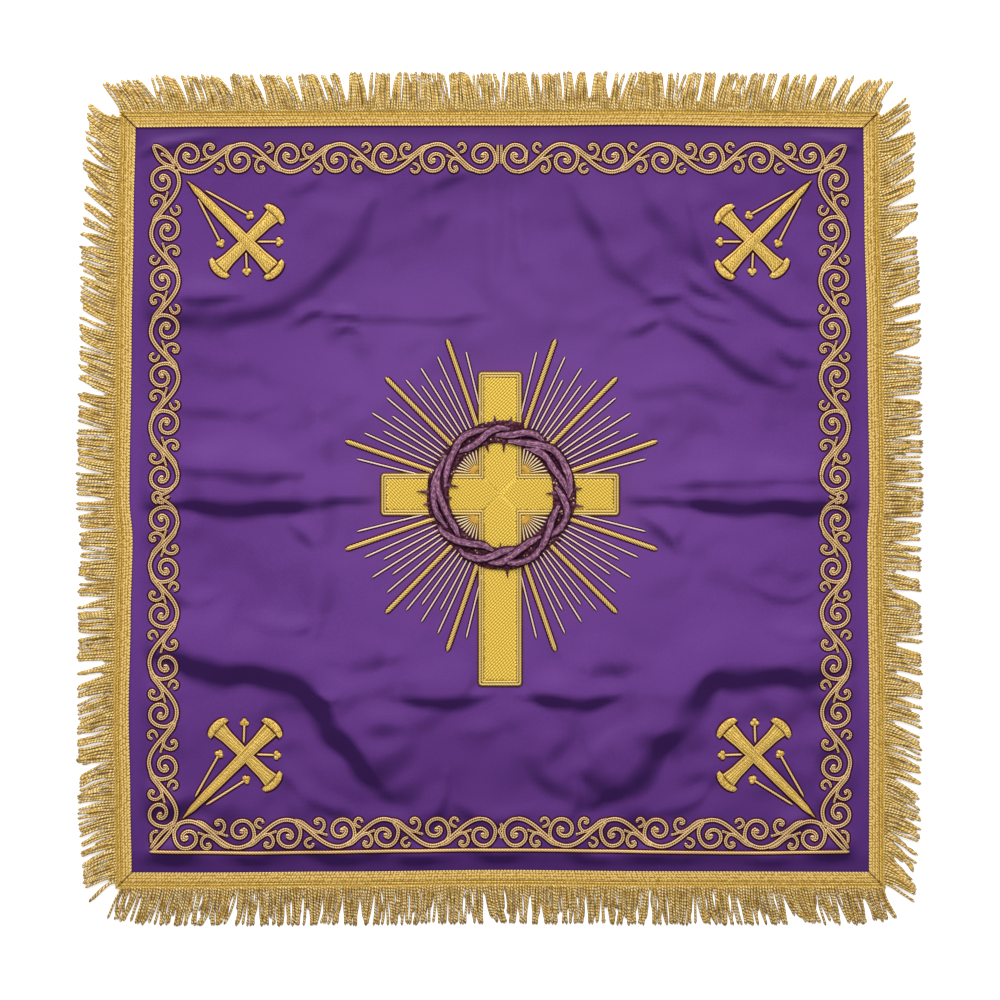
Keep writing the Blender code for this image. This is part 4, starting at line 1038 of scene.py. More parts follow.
def add_cord(mesh, side, number, root, end, length, raised, pile, random, rings):
    """One twisted cord from under the heading to its rounded end."""
    along, out = (np.array(d, float) for d in SIDES[side])
    edge = abs(float(read_table(edge_table(side), np.array([root]))[0]))
    t = np.linspace(0, 1, rings)
    angles = math.tau * (np.arange(CORD_CORNERS) + 0.5) / CORD_CORNERS - math.pi / 2
    loose = CORD_LOOSE[side]
    shift = end - root + random.normal(0, CORD_STRAY * loose) * length / LONGEST_CORD
    level = math.sqrt(max(length ** 2 - CORD_LEAN_COST * shift ** 2, (CORD_LEAST_LEVEL * length) ** 2))
    distance = CORD_ROOT_OUT + (HEADING_EDGE_OUT - CORD_ROOT_OUT + level) * t
    beyond = np.clip((distance - HEADING_EDGE_OUT) / level, 0, 1)
    humped = np.sin(math.pi * beyond)
    sideways = shift * beyond ** random.uniform(*CORD_LEAN_POWERS)
    sideways = sideways + random.normal(0, CORD_BOW * loose) * humped
    sideways = sideways + CORD_WAVE * beyond * np.sin(CORD_WAVES * beyond + random.uniform(0, math.tau))
    centre = (root + sideways)[:, None] * along + (edge + distance)[:, None] * out
    rise = CORD_RADIUS + raised * (1 - beyond) + pile * humped * PILE_SHARE
    rise = rise + CORD_UNDER_HEADING * (beyond <= 0)
    normal = left_normals(centre)
    middle, stray = CORD_RADIUS_SHARES
    thick = CORD_RADIUS * (middle + stray * random.normal())
    thick = thick * np.sqrt(np.clip((1 - t) / CORD_END, CORD_END, 1))
    thick = thick * (1 + CORD_KNOT * rising(t, CORD_KNOT_START, CORD_KNOT_REACH))
    ring_x = thick[:, None] * np.cos(angles)
    x = centre[:, :1] + normal[:, :1] * ring_x
    y = centre[:, 1:] + normal[:, 1:] * ring_x
    z = np.maximum(rise[:, None] + thick[:, None] * np.sin(angles), 0.0)
    lengths = (distance - distance[0])[:, None] / CM + random.uniform(0, 0.02)
    turn = number + np.arange(CORD_CORNERS)[None, :] / CORD_CORNERS * 0.999
    uvs = np.stack(np.broadcast_arrays(lengths, turn), axis=-1)
    mesh.add_skin(np.stack((x, y, z), axis=-1)[:, ::-1], uvs[:, ::-1])


# The scroll's parts beside one extreme of the stem (mm): along the side, away from where the volute
# leaves, then across it, from the stem towards its hollow side
VOLUTE_MM = (
    (-6.0, 0.9), (-9.2, 3.3), (-11.3, 6.6), (-11.6, 10.2), (-10.3, 14.6), (-7.3, 18.0), (-3.6, 19.1),
    (0.3, 18.2), (3.2, 15.5), (4.1, 12.2), (3.0, 8.9), (0.4, 7.2), (-2.6, 7.2), (-5.0, 8.8),
    (-5.9, 11.0), (-5.0, 12.9), (-3.4, 12.6), (-3.0, 11.2),
)
FIRST_VOLUTE_MM = ((0.5, 0.0), (-2.6, 0.35), (-5.4, 1.5), (-7.9, 3.7))  # where no stem runs on
BRANCH_MM = (
    (28.7, 19.2), (23.5, 17.0), (18.9, 13.2), (15.6, 11.0), (12.6, 10.2), (10.1, 12.2), (9.1, 15.4),
    (10.3, 18.4), (12.9, 19.5), (15.2, 18.0), (14.6, 16.1), (13.2, 16.4),
)
BUD_MM = ((12.8, 10.2), (9.9, 9.0), (7.5, 8.3))
HOOK_MM = ((17.1, 6.0), (20.2, 5.0), (21.9, 2.5), (20.1, -0.2), (17.5, 0.0), (16.5, 1.6))
INNER_SHIFT_MM = 1.7
HALF_WAVE_MM = 34.3
STEM_WIDTH, VOLUTE_WIDTH, BRANCH_WIDTH, BUD_WIDTH = 2.65 * MM, 2.4 * MM, 2.05 * MM, 1.5 * MM
STROKE_HEIGHT = 0.8 * MM
EYE_RADIUS, EYE_SHIFT_MM, BUD_RADIUS, CURL_RADIUS = 1.7 * MM, (0.2, 0.3), 1.0 * MM, 1.1 * MM
BALL_RINGS, BALL_END = 6, 0.94
STROKE_STEP = 1.25 * MM

# Each side's scroll (mm): its centre line at the middle, the slope of that line, the swing, and the
# extremes from the middle to the low and to the high corner, the first of them on the inner side
TOP_EXTREMES = (12.9, 43.6, 79.3, 112.5, 148.1, 181.0, 218.7)
BOTTOM_EXTREMES = (12.9, 47.2, 81.5, 114.0, 150.5, 184.8, 219.9)
LOWER_EXTREMES = (16.1, 47.3, 80.9, 115.9, 151.2, 186.6, 221.9)
UPPER_EXTREMES = (15.9, 50.2, 85.4, 117.7, 153.5, 187.1, 223.9)
SCROLLS_MM = {
    "top": (240.5, 0.0, 9.8, TOP_EXTREMES, TOP_EXTREMES),
    "bottom": (-238.2, 0.0, 9.6, BOTTOM_EXTREMES, BOTTOM_EXTREMES),
    "left": (-237.0, 0.0042, 9.8, LOWER_EXTREMES, UPPER_EXTREMES),
    "right": (237.0, -0.0042, 9.8, LOWER_EXTREMES, UPPER_EXTREMES),
}
BORDER_RISE_MM = 2.6
BORDER_RISE_REACH_MM = 250
STEM_PAST_CORNER_MM = 8.0


class Scroll:
    """Places on one half of one side's scroll."""

    def __init__(self, side, direction):
        self.side, self.direction = side, direction
        self.centre, self.slope, self.swing, low, high = SCROLLS_MM[side]
        self.extremes = high if direction > 0 else low
        self.inward = -math.copysign(1, self.centre)

    def centre_at(self, along):
        signed = along * self.direction
        centre = self.centre + self.slope * signed
        if self.side == "bottom":
            centre = centre + BORDER_RISE_MM * (1 - (signed / BORDER_RISE_REACH_MM) ** 2)
        return centre

    def to_cloth(self, along, across):
        along = np.asarray(along, float) * self.direction * MM
        across = np.asarray(across, float) * MM
        parts = (along, across) if self.side in ("top", "bottom") else (across, along)
        return np.stack(parts, axis=-1)

    def stem(self):
        """The stem's line from the first extreme to just past the last one."""
        rows = []
        for number, (start, end) in enumerate(zip(self.extremes, self.extremes[1:])):
            sign = self.inward if number % 2 == 0 else -self.inward
            along = np.arange(start, end, 1.0)
            rows.append(np.column_stack((along, self.centre_at(along) + sign * self.swing
                                         * np.cos(math.pi * (along - start) / (end - start)))))
        last = self.extremes[-1]
        along = np.linspace(last, last + STEM_PAST_CORNER_MM, 6)
        turned = np.cos(math.pi * (along - last) / HALF_WAVE_MM)
        across = self.centre_at(along) + self.inward * self.swing * turned
        rows.append(np.column_stack((along, across)))
        rows = np.vstack(rows)
        return self.to_cloth(rows[:, 0], rows[:, 1])

    def local(self, number, points, leaves, stretch=1.0):
        """Points beside an extreme, whose volute leaves towards the corner (1) or the middle (-1)."""
        points = np.array(points, float)
        inner = number % 2 == 0
        extreme = self.extremes[number]
        sign = self.inward if inner else -self.inward
        along_side = np.where(points[:, 0] > 0, points[:, 0] * stretch, points[:, 0])
        along = extreme - leaves * along_side
        across = self.centre_at(extreme) + sign * self.swing - sign * points[:, 1]
        return self.to_cloth(along, across)


def add_stroke(mesh, points, width, ends=STROKE_ENDS):
    """A cord along a smooth line, narrower and lower at its ends."""
    path = curve(points, STROKE_STEP)
    shares = tapered(len(path), *ends)
    heights = STROKE_HEIGHT * (END_HEIGHT + (1 - END_HEIGHT) * shares)
    sweep(mesh, path, width * shares, heights, DOUBLE_CORD, on_cloth)


def add_ball(mesh, place, radius, height=0.9 * MM):
    """A small raised dot: short rings that close at both ends."""
    angles = np.linspace(-BALL_END, BALL_END, BALL_RINGS) * math.pi / 2
    path = np.array(place)[None, :] + np.stack((np.sin(angles) * radius, np.zeros(BALL_RINGS)), axis=-1)
    sweep(mesh, path, 2 * radius * np.cos(angles), height * np.cos(angles) ** 0.5, SINGLE_CORD, on_cloth)


def unit_parts(side, number, last):
    """Which way the volute of one extreme leaves, and which tendrils go with it."""
    if side == "bottom":
        leaves = 1 if number == last else -1
        return leaves, True, number not in (last, last - 1)
    if number == 0:
        return -1, side != "top", False
    return 1, True, not (number == 1 and side != "top")


def build_vine(side):
    """The scroll border of one side."""
    mesh = Mesh()
    for direction in (-1, 1):
        scroll = Scroll(side, direction)
        stem = resample(scroll.stem(), STROKE_STEP)
        sweep(mesh, stem, STEM_WIDTH, STROKE_HEIGHT, DOUBLE_CORD, on_cloth)
        last = len(scroll.extremes) - 1
        for number in range(last + 1):
            leaves, has_branch, has_hook = unit_parts(side, number, last)
            other = number - leaves
            volute = np.array(VOLUTE_MM)
            volute[1:, 0] += INNER_SHIFT_MM if number % 2 == 0 else 0.0
            if number == 0:
                volute = np.vstack((FIRST_VOLUTE_MM, volute[2:]))
            path = curve(scroll.local(number, volute, leaves), STROKE_STEP)
            shares = tapered(len(path), *VOLUTE_ENDS)
            sweep(mesh, path, VOLUTE_WIDTH * shares, STROKE_HEIGHT * shares, DOUBLE_CORD, on_cloth)
            add_ball(mesh, scroll.local(number, [volute[-1] + EYE_SHIFT_MM], leaves)[0], EYE_RADIUS)
            if not (0 <= other <= last and has_branch):
                continue
            stretch = abs(scroll.extremes[other] - scroll.extremes[number]) / HALF_WAVE_MM
            branch, bud, hook = (scroll.local(number, points, leaves, stretch)
                                 for points in (BRANCH_MM, BUD_MM, HOOK_MM))
            add_stroke(mesh, branch, BRANCH_WIDTH, BRANCH_ENDS)
            add_stroke(mesh, bud, BUD_WIDTH)
            add_ball(mesh, bud[-1], BUD_RADIUS)
            add_ball(mesh, branch[-1], CURL_RADIUS)
            if has_hook:
                add_stroke(mesh, hook, BRANCH_WIDTH * HOOK_SHARE, HOOK_ENDS)
                add_ball(mesh, hook[-1], CURL_RADIUS)
    add_middle(mesh, side)
    return mesh.piece(f"vine_{side}", "stroke", "gold_thread", (f"scroll_{side}",))


def add_middle(mesh, side):
    """What ties the two halves together at the middle of a side."""
    for width, places in MIDDLE_TIES.get(side, ()):
        add_stroke(mesh, from_photo(*places), width * MM)
    if side in ("left", "right"):
        for width, places in SIDE_TIES:
            if side == "right":
                places = [(2 * PHOTO_MIDDLE[0] - x, y) for x, y in places]
            add_stroke(mesh, from_photo(*places), width * MM, TIE_ENDS)


# Widths in mm, and places in the photo: at the middle of the top and bottom, then of the left side
MIDDLE_TIES = {
    "top": ((1.6, ((497.8, 145), (497.8, 155), (497.8, 164))),
            (1.6, ((501.4, 145), (501.4, 155), (501.4, 164))),
            (1.5, ((527, 150), (526.6, 157), (525.7, 164)))),
    "bottom": ((2.2, ((500.6, 823), (502, 827), (499.2, 831), (501.8, 835), (500.6, 838))),),
}
SIDE_TIES = (
    (2.1, ((157.6, 503.2), (154.2, 500.4), (153.3, 496.7), (154.8, 493.6), (158, 492.7), (161, 494.2),
           (161.4, 497), (159.4, 498.8), (157.2, 497.8))),
    (1.8, ((175.3, 483.6), (172.6, 488.4), (168.4, 492), (164.4, 494), (160.8, 494.6))),
    (1.8, ((177.2, 513.4), (173.8, 507.8), (169.2, 503.4), (164.4, 500.4), (160.6, 498))),
    (1.8, ((157, 500.8), (160.6, 502.6), (164.4, 503))),
    (1.7, ((165.3, 498.4), (167.8, 497.6), (170, 496))),
)
CORNER_STROKES = {  # strokes at the left corners, read in the photo, with their widths in mm
    "top": (
        (2.2, ((175.4, 167.2), (168.8, 165.6), (163.2, 163), (158.6, 158.5), (155.5, 152.3),
               (153.4, 146.2))),
        (2.2, ((174.9, 165), (171.8, 159), (167.8, 153.4), (163.7, 149.8), (158.6, 146.7),
               (153.4, 145.6))),
        (1.5, ((173.9, 164), (167.8, 157.4), (163.2, 155))),
    ),
    "bottom": (
        (2.3, ((176, 823.7), (166.6, 829), (158.2, 837.4), (150.8, 847.9))),
        (2.3, ((172.9, 827.9), (167.6, 835.3), (160.3, 843.7), (153, 850.5))),
        (1.9, ((155, 831), (151.5, 834), (151.2, 838), (151.3, 842.6))),
    ),
}
LEAF_BALLS = {"top": (162.6, 154.8), "bottom": (156.4, 831.4)}
BORDER_CORD_MM = (
    (-247, -249.4), (-180, -250.3), (-127, -249.8), (-64, -248.8), (0, -248.2), (64, -248.8),
    (127, -249.8), (180, -250.3), (247, -249.4),
)


MITRES_MM = {"top": 0.35, "bottom": 0.2}
MITRE_OUT_MM, MITRE_STEP = (-0.2, 9.5), 1.5 * MM
MITRE_LIFT, MITRE_HEIGHT = 2.515 * MM, 0.15 * MM
LEAF_BALL_RADIUS = 1.3 * MM
BORDER_CORD_WIDTH, BORDER_CORD_STEP = 1.9 * MM, 1.5 * MM


def build_mitres():
    """Dark seams where the lengths of braid meet at the corners."""
    mesh = Mesh()
    for side, width in MITRES_MM.items():
        for end in (0.0, 1.0):
            inner, outer = (edge_points(side, np.array([end]), out * MM)[0] for out in MITRE_OUT_MM)
            path = resample((inner, outer), MITRE_STEP)
            sweep(mesh, path, 2 * width * MM, MITRE_HEIGHT, BARE_CORD, on_floor, lift=MITRE_LIFT)
    return mesh.piece("braid_mitres", "outline", "gold_braid")


def build_corners():
    """The leaves where two scrolls meet, and the cord below the bottom scroll."""
    leaves, cord = Mesh(), Mesh()
    for name, strokes in CORNER_STROKES.items():
        for sign in (1, -1):
            for width, points in strokes:
                add_stroke(leaves, np.array(from_photo(*points)) * (sign, 1), width * MM, LEAF_ENDS)
            add_ball(leaves, np.array(from_photo(LEAF_BALLS[name])[0]) * (sign, 1), LEAF_BALL_RADIUS)
    path = curve(np.array(BORDER_CORD_MM) * MM, BORDER_CORD_STEP)
    widths = BORDER_CORD_WIDTH * tapered(len(path), *BORDER_CORD_ENDS)
    sweep(cord, path, widths, STROKE_HEIGHT, SINGLE_CORD, on_cloth)
    return [leaves.piece("corner_leaves", "stroke", "gold_thread"),
            cord.piece("border_cord_stitched", "lower_cord", "gold_thread", ("border_cord",))]


# The cross (mm)
CROSS_CENTRE = np.array((0.4, 2.9)) * MM
CROSS_HALF_ARM, CROSS_HALF_BAR, CROSS_HALF_SPAN = 15.0 * MM, 14.5 * MM, 83.8 * MM
CROSS_TOP, CROSS_FOOT = 89.0 * MM, -132.1 * MM
CROSS_PLATE = 0.6 * MM
CROSS_BORDER_TOP = 1.1 * MM
CROSS_BORDER = 4.4 * MM
CROSS_ROUND = 2.2 * MM
FILL_PITCH = 1.62 * MM
ROW_OVERLAP, ROW_HEIGHT, ROW_WIDTH, ROW_STEP = 1.5 * MM, 0.34 * MM, FILL_PITCH * 1.1, 2.0 * MM
ROW_SECTION = np.array(((-1, -0.2), (-0.85, 0.3), (0, 1.0), (0.85, 0.3), (1, -0.2)))
SHORTEST_ROW = 0.8 * MM
FILL_INSET = CROSS_BORDER - 0.75 * MM
PLATE_INSET, PLATE_DEPTH = 0.3 * MM, 0.4 * MM
BORDER_INSETS_MM, LEAST_ROUND = (0.75, 2.6), 0.6 * MM
BORDER_WIDTH, BORDER_HEIGHT, BORDER_SINK, BORDER_STEP = 1.3 * MM, 0.75 * MM, 0.1 * MM, 1.0 * MM
EDGE_OUT, EDGE_WIDTH, EDGE_STEP = 0.15 * MM, 0.7 * MM, 1.5 * MM
CROWN_GROUND_MARGIN, CROWN_GROUND_REACH = 4 * MM, 5 * MM


def cross_outline(inset):
    """Corners of the cross, moved inward."""
    cx, cy = CROSS_CENTRE
    arm, bar, span = CROSS_HALF_ARM - inset, CROSS_HALF_BAR - inset, CROSS_HALF_SPAN - inset
    top, foot = CROSS_TOP - inset, CROSS_FOOT + inset
    return np.array((
        (cx - arm, top), (cx - arm, cy + bar), (cx - span, cy + bar), (cx - span, cy - bar),
        (cx - arm, cy - bar), (cx - arm, foot), (cx + arm, foot), (cx + arm, cy - bar),
        (cx + span, cy - bar), (cx + span, cy + bar), (cx + arm, cy + bar), (cx + arm, top),
    ))


def rounded(corners, radius, points=5):
    """The outline with its outward corners turned into arcs."""
    made = []
    for before, corner, after in zip(np.roll(corners, 1, axis=0), corners, np.roll(corners, -1, axis=0)):
        one, two = unit(before - corner), unit(after - corner)
        if one[0] * two[1] - one[1] * two[0] > 0:
            made.append(corner)
            continue
        for angle in np.linspace(0, math.pi / 2, points):
            made.append(corner + radius * ((1 - math.sin(angle)) * one + (1 - math.cos(angle)) * two))
    return np.array(made)


def in_cross(x, y):
    """How far inside the cross a place is, at least."""
    dx, dy = x - CROSS_CENTRE[0], y - CROSS_CENTRE[1]
    upright = np.minimum(CROSS_HALF_ARM - np.abs(dx), np.minimum(CROSS_TOP - y, y - CROSS_FOOT))
    level = np.minimum(CROSS_HALF_BAR - np.abs(dy), CROSS_HALF_SPAN - np.abs(dx))
    return np.maximum(upright, level)


def under_crown(x, y):
    """Height of what the crown lies on: the cloth, or the cross with its border."""
    share = rising(in_cross(x, y), -CROWN_GROUND_MARGIN, CROWN_GROUND_REACH)
    return on_cloth(x, y) + (CROSS_PLATE + CROSS_BORDER_TOP) * share


def clip_line(point, direction, corners):
    """The part of a line inside a convex shape, as two distances, or None."""
    low, high = -1.0, 1.0
    middle = np.mean(corners, axis=0)
    for a, b in zip(corners, np.roll(corners, -1, axis=0)):
        normal = np.array((a[1] - b[1], b[0] - a[0]))
        if np.dot(normal, middle - a) < 0:
            normal = -normal
        speed, gap = np.dot(normal, direction), np.dot(normal, point - a)
        if abs(speed) < 1e-12:
            if gap < 0:
                return None
        elif speed > 0:
            low = max(low, -gap / speed)
        else:
            high = min(high, -gap / speed)
    return (low, high) if high - low > SHORTEST_ROW else None


def fill_regions():
    """The four parts of the fill: which way their rows slope, and their corners."""
    cx, cy = CROSS_CENTRE
    middle = tuple(CROSS_CENTRE)
    arm, bar = CROSS_HALF_ARM - FILL_INSET, CROSS_HALF_BAR - FILL_INSET
    span = CROSS_HALF_SPAN - FILL_INSET
    regions = []
    for end, way in ((CROSS_TOP - FILL_INSET, 1), (CROSS_FOOT + FILL_INSET, -1)):
        inner = cy + way * bar
        regions.append((1, ((cx - arm, end), (cx + arm, end), (cx + arm, inner), middle, (cx - arm, inner))))
    for way in (-1, 1):
        inner, end = cx + way * arm, cx + way * span
        regions.append((-1, ((end, cy - bar), (end, cy + bar), (inner, cy + bar), middle, (inner, cy - bar))))
    return regions


def build_fill(ground):
    """The fill's raised rows, which end unevenly under the border."""
    mesh = Mesh()
    row = 0
    random = np.random.default_rng(SEED)
    for slope, corners in fill_regions():
        corners = np.array(corners)
        direction = np.array((1.0, slope)) / math.sqrt(2)
        normal = leftward_of(direction)
        reach = corners @ normal
        seam = float(CROSS_CENTRE @ normal)
        first, last = (reach.min() - seam) / FILL_PITCH, (reach.max() - seam) / FILL_PITCH
        for number in range(math.floor(first), math.ceil(last)):
            offset = seam + (number + 0.5) * FILL_PITCH
            row += 1
            found = clip_line(normal * offset, direction, corners)
            if found is None:
                continue
            found = (found[0] - random.uniform(0, ROW_OVERLAP), found[1] + random.uniform(0, ROW_OVERLAP))
            path = np.array([normal * offset + direction * d for d in found])
            add_row(mesh, resample(path, ROW_STEP), ground, row)
    return mesh.piece("cross_fill", "fill", "gold_thread")


def build_plate(base):
    """The cross's ground, a flat plate from just below the cloth's highest place under it."""
    outline = rounded(cross_outline(PLATE_INSET), CROSS_ROUND - PLATE_INSET)
    count = len(outline)
    points = [(*p, z) for z in (base - PLATE_DEPTH, base + CROSS_PLATE) for p in outline]
    faces = [list(range(count - 1, -1, -1)), list(range(count, 2 * count))]
    walls = [[i, (i + 1) % count, (i + 1) % count + count, i + count] for i in range(count)]
    plate = bpy.data.meshes.new("cross_plate")
    plate.from_pydata([[float(v) for v in p] for p in points], [], faces + walls)
    plate.materials.append(MATERIALS["plate"])
    return finish_piece(plate, "cross_plate", ("cross",))


def build_cross():
    """The cross: a plate, the fill's raised rows, a border of two cords and a dark edge."""
    outline = rounded(cross_outline(PLATE_INSET), CROSS_ROUND - PLATE_INSET)
    base = float(np.max(on_cloth(outline[:, 0], outline[:, 1])))

    def ground(x, y):
        return np.full(np.shape(x), base + CROSS_PLATE)

    border, edge = Mesh(), Mesh()
    for inset in BORDER_INSETS_MM:
        corners = rounded(cross_outline(inset * MM), max(CROSS_ROUND - inset * MM, LEAST_ROUND))
        path = resample_closed(corners, BORDER_STEP)
        sweep(border, path, BORDER_WIDTH, BORDER_HEIGHT, SINGLE_CORD, ground, looped=True, lift=-BORDER_SINK)
    path = resample_closed(rounded(cross_outline(-EDGE_OUT), CROSS_ROUND + EDGE_OUT), EDGE_STEP)
    sweep(edge, path, EDGE_WIDTH, EDGE_WIDTH, SINGLE_CORD, on_cloth, looped=True)
    return [build_plate(base), build_fill(ground), border.piece("cross_border", "border", "gold_thread"),
            edge.piece("cross_edge", "outline", "gold_thread")]


def resample_closed(corners, step):
    """Points along a closed outline that keep its corners."""
    parts = []
    for a, b in zip(corners, np.roll(corners, -1, axis=0)):
        count = max(1, round(np.linalg.norm(b - a) / step))
        parts.append(a + (b - a) * (np.arange(count) / count)[:, None])
    return np.vstack(parts)


def add_row(mesh, path, ground, row):
    """A raised row of stitches whose UV map holds the row's number."""
    normals = left_normals(path)
    across = ROW_SECTION[:, 0] * ROW_WIDTH / 2
    x = path[:, :1] + normals[:, :1] * across
    y = path[:, 1:] + normals[:, 1:] * across
    z = ground(x, y) + ROW_SECTION[:, 1] * ROW_HEIGHT * tapered(len(path), *ROW_ENDS)[:, None]
    rows = row + 0.5 + 0.49 * ROW_SECTION[None, :, 0]
    uvs = np.stack(np.broadcast_arrays(distances(path)[:, None] / CM, rows), axis=-1)
    mesh.add_skin(np.stack((x, y, z), axis=-1), uvs)


# The glory
GLORY_CENTRE = np.array((1.3, 2.3)) * MM
RAY_ANGLES_DEG = (19.2, 44.5, 70.8)
RAY_START, RAY_TIP = 50.0 * MM, 116.5 * MM
RAY_WIDTH = 2.9 * MM
THIN_RAYS = (  # angle from the upright in degrees, and the tip's distance from the centre in mm
    (13.8, 104), (24.7, 107.5), (28, 92), (32.3, 106), (36, 95.5), (39.6, 105.5), (49.6, 106),
    (54, 95), (57.5, 108), (61.4, 94.7), (65.6, 106), (75.9, 105),
)
THIN_RAY_WIDTH = 1.05 * MM
FAN_WIDTH = 1.3 * MM
FAN_ANGLES_DEG = np.linspace(7, 83, 9)
FAN_START, FAN_END = 2.4 * MM, 36.8 * MM
QUADRANTS = ((1, 1), (1, -1), (-1, -1), (-1, 1))
RAY_STEP, RAY_HEIGHT, ROPE_SWELL, ROPE_TURN = 0.6 * MM, 1.3 * MM, 0.10, 2.3
THIN_RAY_STEP, THIN_RAY_HEIGHT = 2.0 * MM, 0.75 * MM
FAN_STEP, FAN_HEIGHT, FAN_LIFT, FAN_TAPER = 1.5 * MM, 0.7 * MM, 0.3 * MM, (0.4, 1.0)
GOLD_CORNER_MM, GOLD_CORNER_SHARES = np.linspace(0.2, 6.4, 5), (1, 1, 1, 0.8, 0.35)
GOLD_CORNER_HEIGHT, GOLD_CORNER_LIFT = 0.5 * MM, 0.1 * MM
FAN_GROUND_MM, FAN_GROUND_HEIGHT, FAN_GROUND_LIFT = np.linspace(0.5, 22.0, 12), 0.12 * MM, 0.2 * MM


def spoke(start, direction, distances_out, step):
    """Points along a straight line, between two distances from its start."""
    return resample([start + direction * distance for distance in distances_out], step)


def build_rays():
    """The glory's rays, and the fans of stitches in the cross's corners."""
    thick, thin, fans, golds, grounds = (Mesh() for _ in range(5))
    for quadrant in QUADRANTS:
        for angle in RAY_ANGLES_DEG:
            path = spoke(GLORY_CENTRE, clock(angle) * quadrant, (RAY_START, RAY_TIP), RAY_STEP)
            shares = tapered(len(path), *RAY_ENDS)
            rope = 1 + ROPE_SWELL * np.sin(math.tau * np.arange(len(path)) * (RAY_STEP / MM) / ROPE_TURN)
            heights = RAY_HEIGHT * (END_HEIGHT + (1 - END_HEIGHT) * shares)
            sweep(thick, path, RAY_WIDTH * shares * rope, heights, SINGLE_CORD, on_cloth)
        for angle, tip in THIN_RAYS:
            path = spoke(GLORY_CENTRE, clock(angle) * quadrant, (RAY_START, tip * MM), THIN_RAY_STEP)
            widths = THIN_RAY_WIDTH * tapered(len(path), *THIN_RAY_ENDS)
            sweep(thin, path, widths, THIN_RAY_HEIGHT, SINGLE_CORD, on_cloth)
        corner = CROSS_CENTRE + np.array(quadrant) * (CROSS_HALF_ARM, CROSS_HALF_BAR)
        start = corner - GLORY_CENTRE
        for angle in FAN_ANGLES_DEG:
            direction = clock(angle) * quadrant
            toward = float(start @ direction)
            length = -toward + math.sqrt(toward ** 2 - float(start @ start) + FAN_END ** 2)
            path = spoke(corner, direction, (FAN_START, length), FAN_STEP)
            widths = FAN_WIDTH * np.linspace(*FAN_TAPER, len(path)) * tapered(len(path), *FAN_ENDS)
            sweep(fans, path, widths, FAN_HEIGHT, BARE_CORD, on_cloth, lift=FAN_LIFT)
        diagonal = np.array(quadrant) / math.sqrt(2)
        path = corner + diagonal * GOLD_CORNER_MM[:, None] * MM
        widths = 2 * GOLD_CORNER_MM * MM * GOLD_CORNER_SHARES
        sweep(golds, path, widths, GOLD_CORNER_HEIGHT, BARE_CORD, on_cloth, lift=GOLD_CORNER_LIFT)
        path = corner + diagonal * FAN_GROUND_MM[:, None] * MM
        sweep(grounds, path, 2 * FAN_GROUND_MM * MM, FAN_GROUND_HEIGHT, FLAT_PATCH, on_cloth,
              lift=FAN_GROUND_LIFT)
    nodes = [f"ray_{n:02d}" for n in range(1, 13)]
    return [thick.piece("thick_rays", "rope", "gold_thread", nodes),
            thin.piece("thin_rays", "cream", "gold_thread"),
            fans.piece("fan_stitches", "fan_thread", "gold_thread"),
            golds.piece("fan_corners", "gold_patch", "gold_thread"),
            grounds.piece("fan_grounds", "fan", "mauve_thread")]


# The crown of thorns: each stem's line as (degrees clockwise from the top, distance from the centre
# in mm), and its width in mm
CROWN_STEMS = (
    (4.6, ((-82, 40.4), (-65, 43), (-47, 46.9), (-34, 51), (-22, 50.5), (-10, 49.1))),
    (4.6, ((-44, 43.8), (-34.5, 40.9), (-22, 41.9), (-11.5, 46.3), (-1.4, 49.1), (7.3, 48.7))),
    (4.6, ((-5.4, 43.4), (8, 43.7), (20, 48.3), (29, 51), (38, 50.3))),
    (5.0, ((7, 38.4), (24, 40.8), (38, 45.6), (49, 50.6), (61, 51.5), (73.5, 51.5), (85, 51), (92, 48.7))),
    (4.6, ((27, 37.5), (41, 40.7), (51, 41.9), (65, 42.2), (77, 45.4), (88, 48.7))),
    (4.6, ((81, 38.8), (92, 44.3), (102, 49), (110, 50.3), (121, 48.8), (132, 45.5))),
    (4.2, ((140, 46), (150, 50.2), (160, 51.2), (171, 50.2), (180, 46))),
    (4.8, ((100, 42), (112, 39.7), (126, 42.1), (137, 45.8), (148, 50.2))),
    (4.8, ((136, 40.6), (150, 38.8), (163, 41.3), (174, 45.7), (181, 49.1), (191, 49.9))),
    (4.8, ((162, 39.2), (177.5, 39.6), (189, 44.5), (199, 48.8), (211, 51.1), (218, 49.9))),
    (4.8, ((188, 39.9), (200, 37.4), (214, 41.5), (226, 46.4), (237, 50.5), (243, 51.5))),
    (4.6, ((-62.5, 50.8), (-78, 47.7), (-92, 43.7), (-109, 40.7), (-126, 40.2), (-137, 43.9))),
    (4.2, ((-54, 50.2), (-78, 49.8), (-93, 49.6), (-102, 49.1), (-110, 47.9), (-121, 45.7))),
)
CROWN_INNER, CROWN_OUTER = 36.8 * MM, 52.8 * MM
CROWN_BAND = 0.8 * MM
CROWN_STEM_HEIGHT = 1.9 * MM
CROWN_STATIONS = 180
CROWN_WOBBLES = (0.5 * MM, 9, 0), (0.3 * MM, 23, 1)  # size, waves round the ring, phase
CROWN_STEM_STEP, CROWN_STEM_LIFT, CROWN_STEM_ARCH, CROWN_STEM_LAYER = 0.9 * MM, 0.25 * MM, 1.0 * MM, 0.05 * MM
THORN_ROOT_IN, THORN_WIDTH, THORN_HEIGHT, THORN_POINT = 2.5 * MM, 3.3 * MM, 1.4 * MM, 0.15
STEM_GAIN = 1.42
STEM_RING, STEM_RING_CALLED, STEM_SPREAD = 44.4, 45.4, 0.84
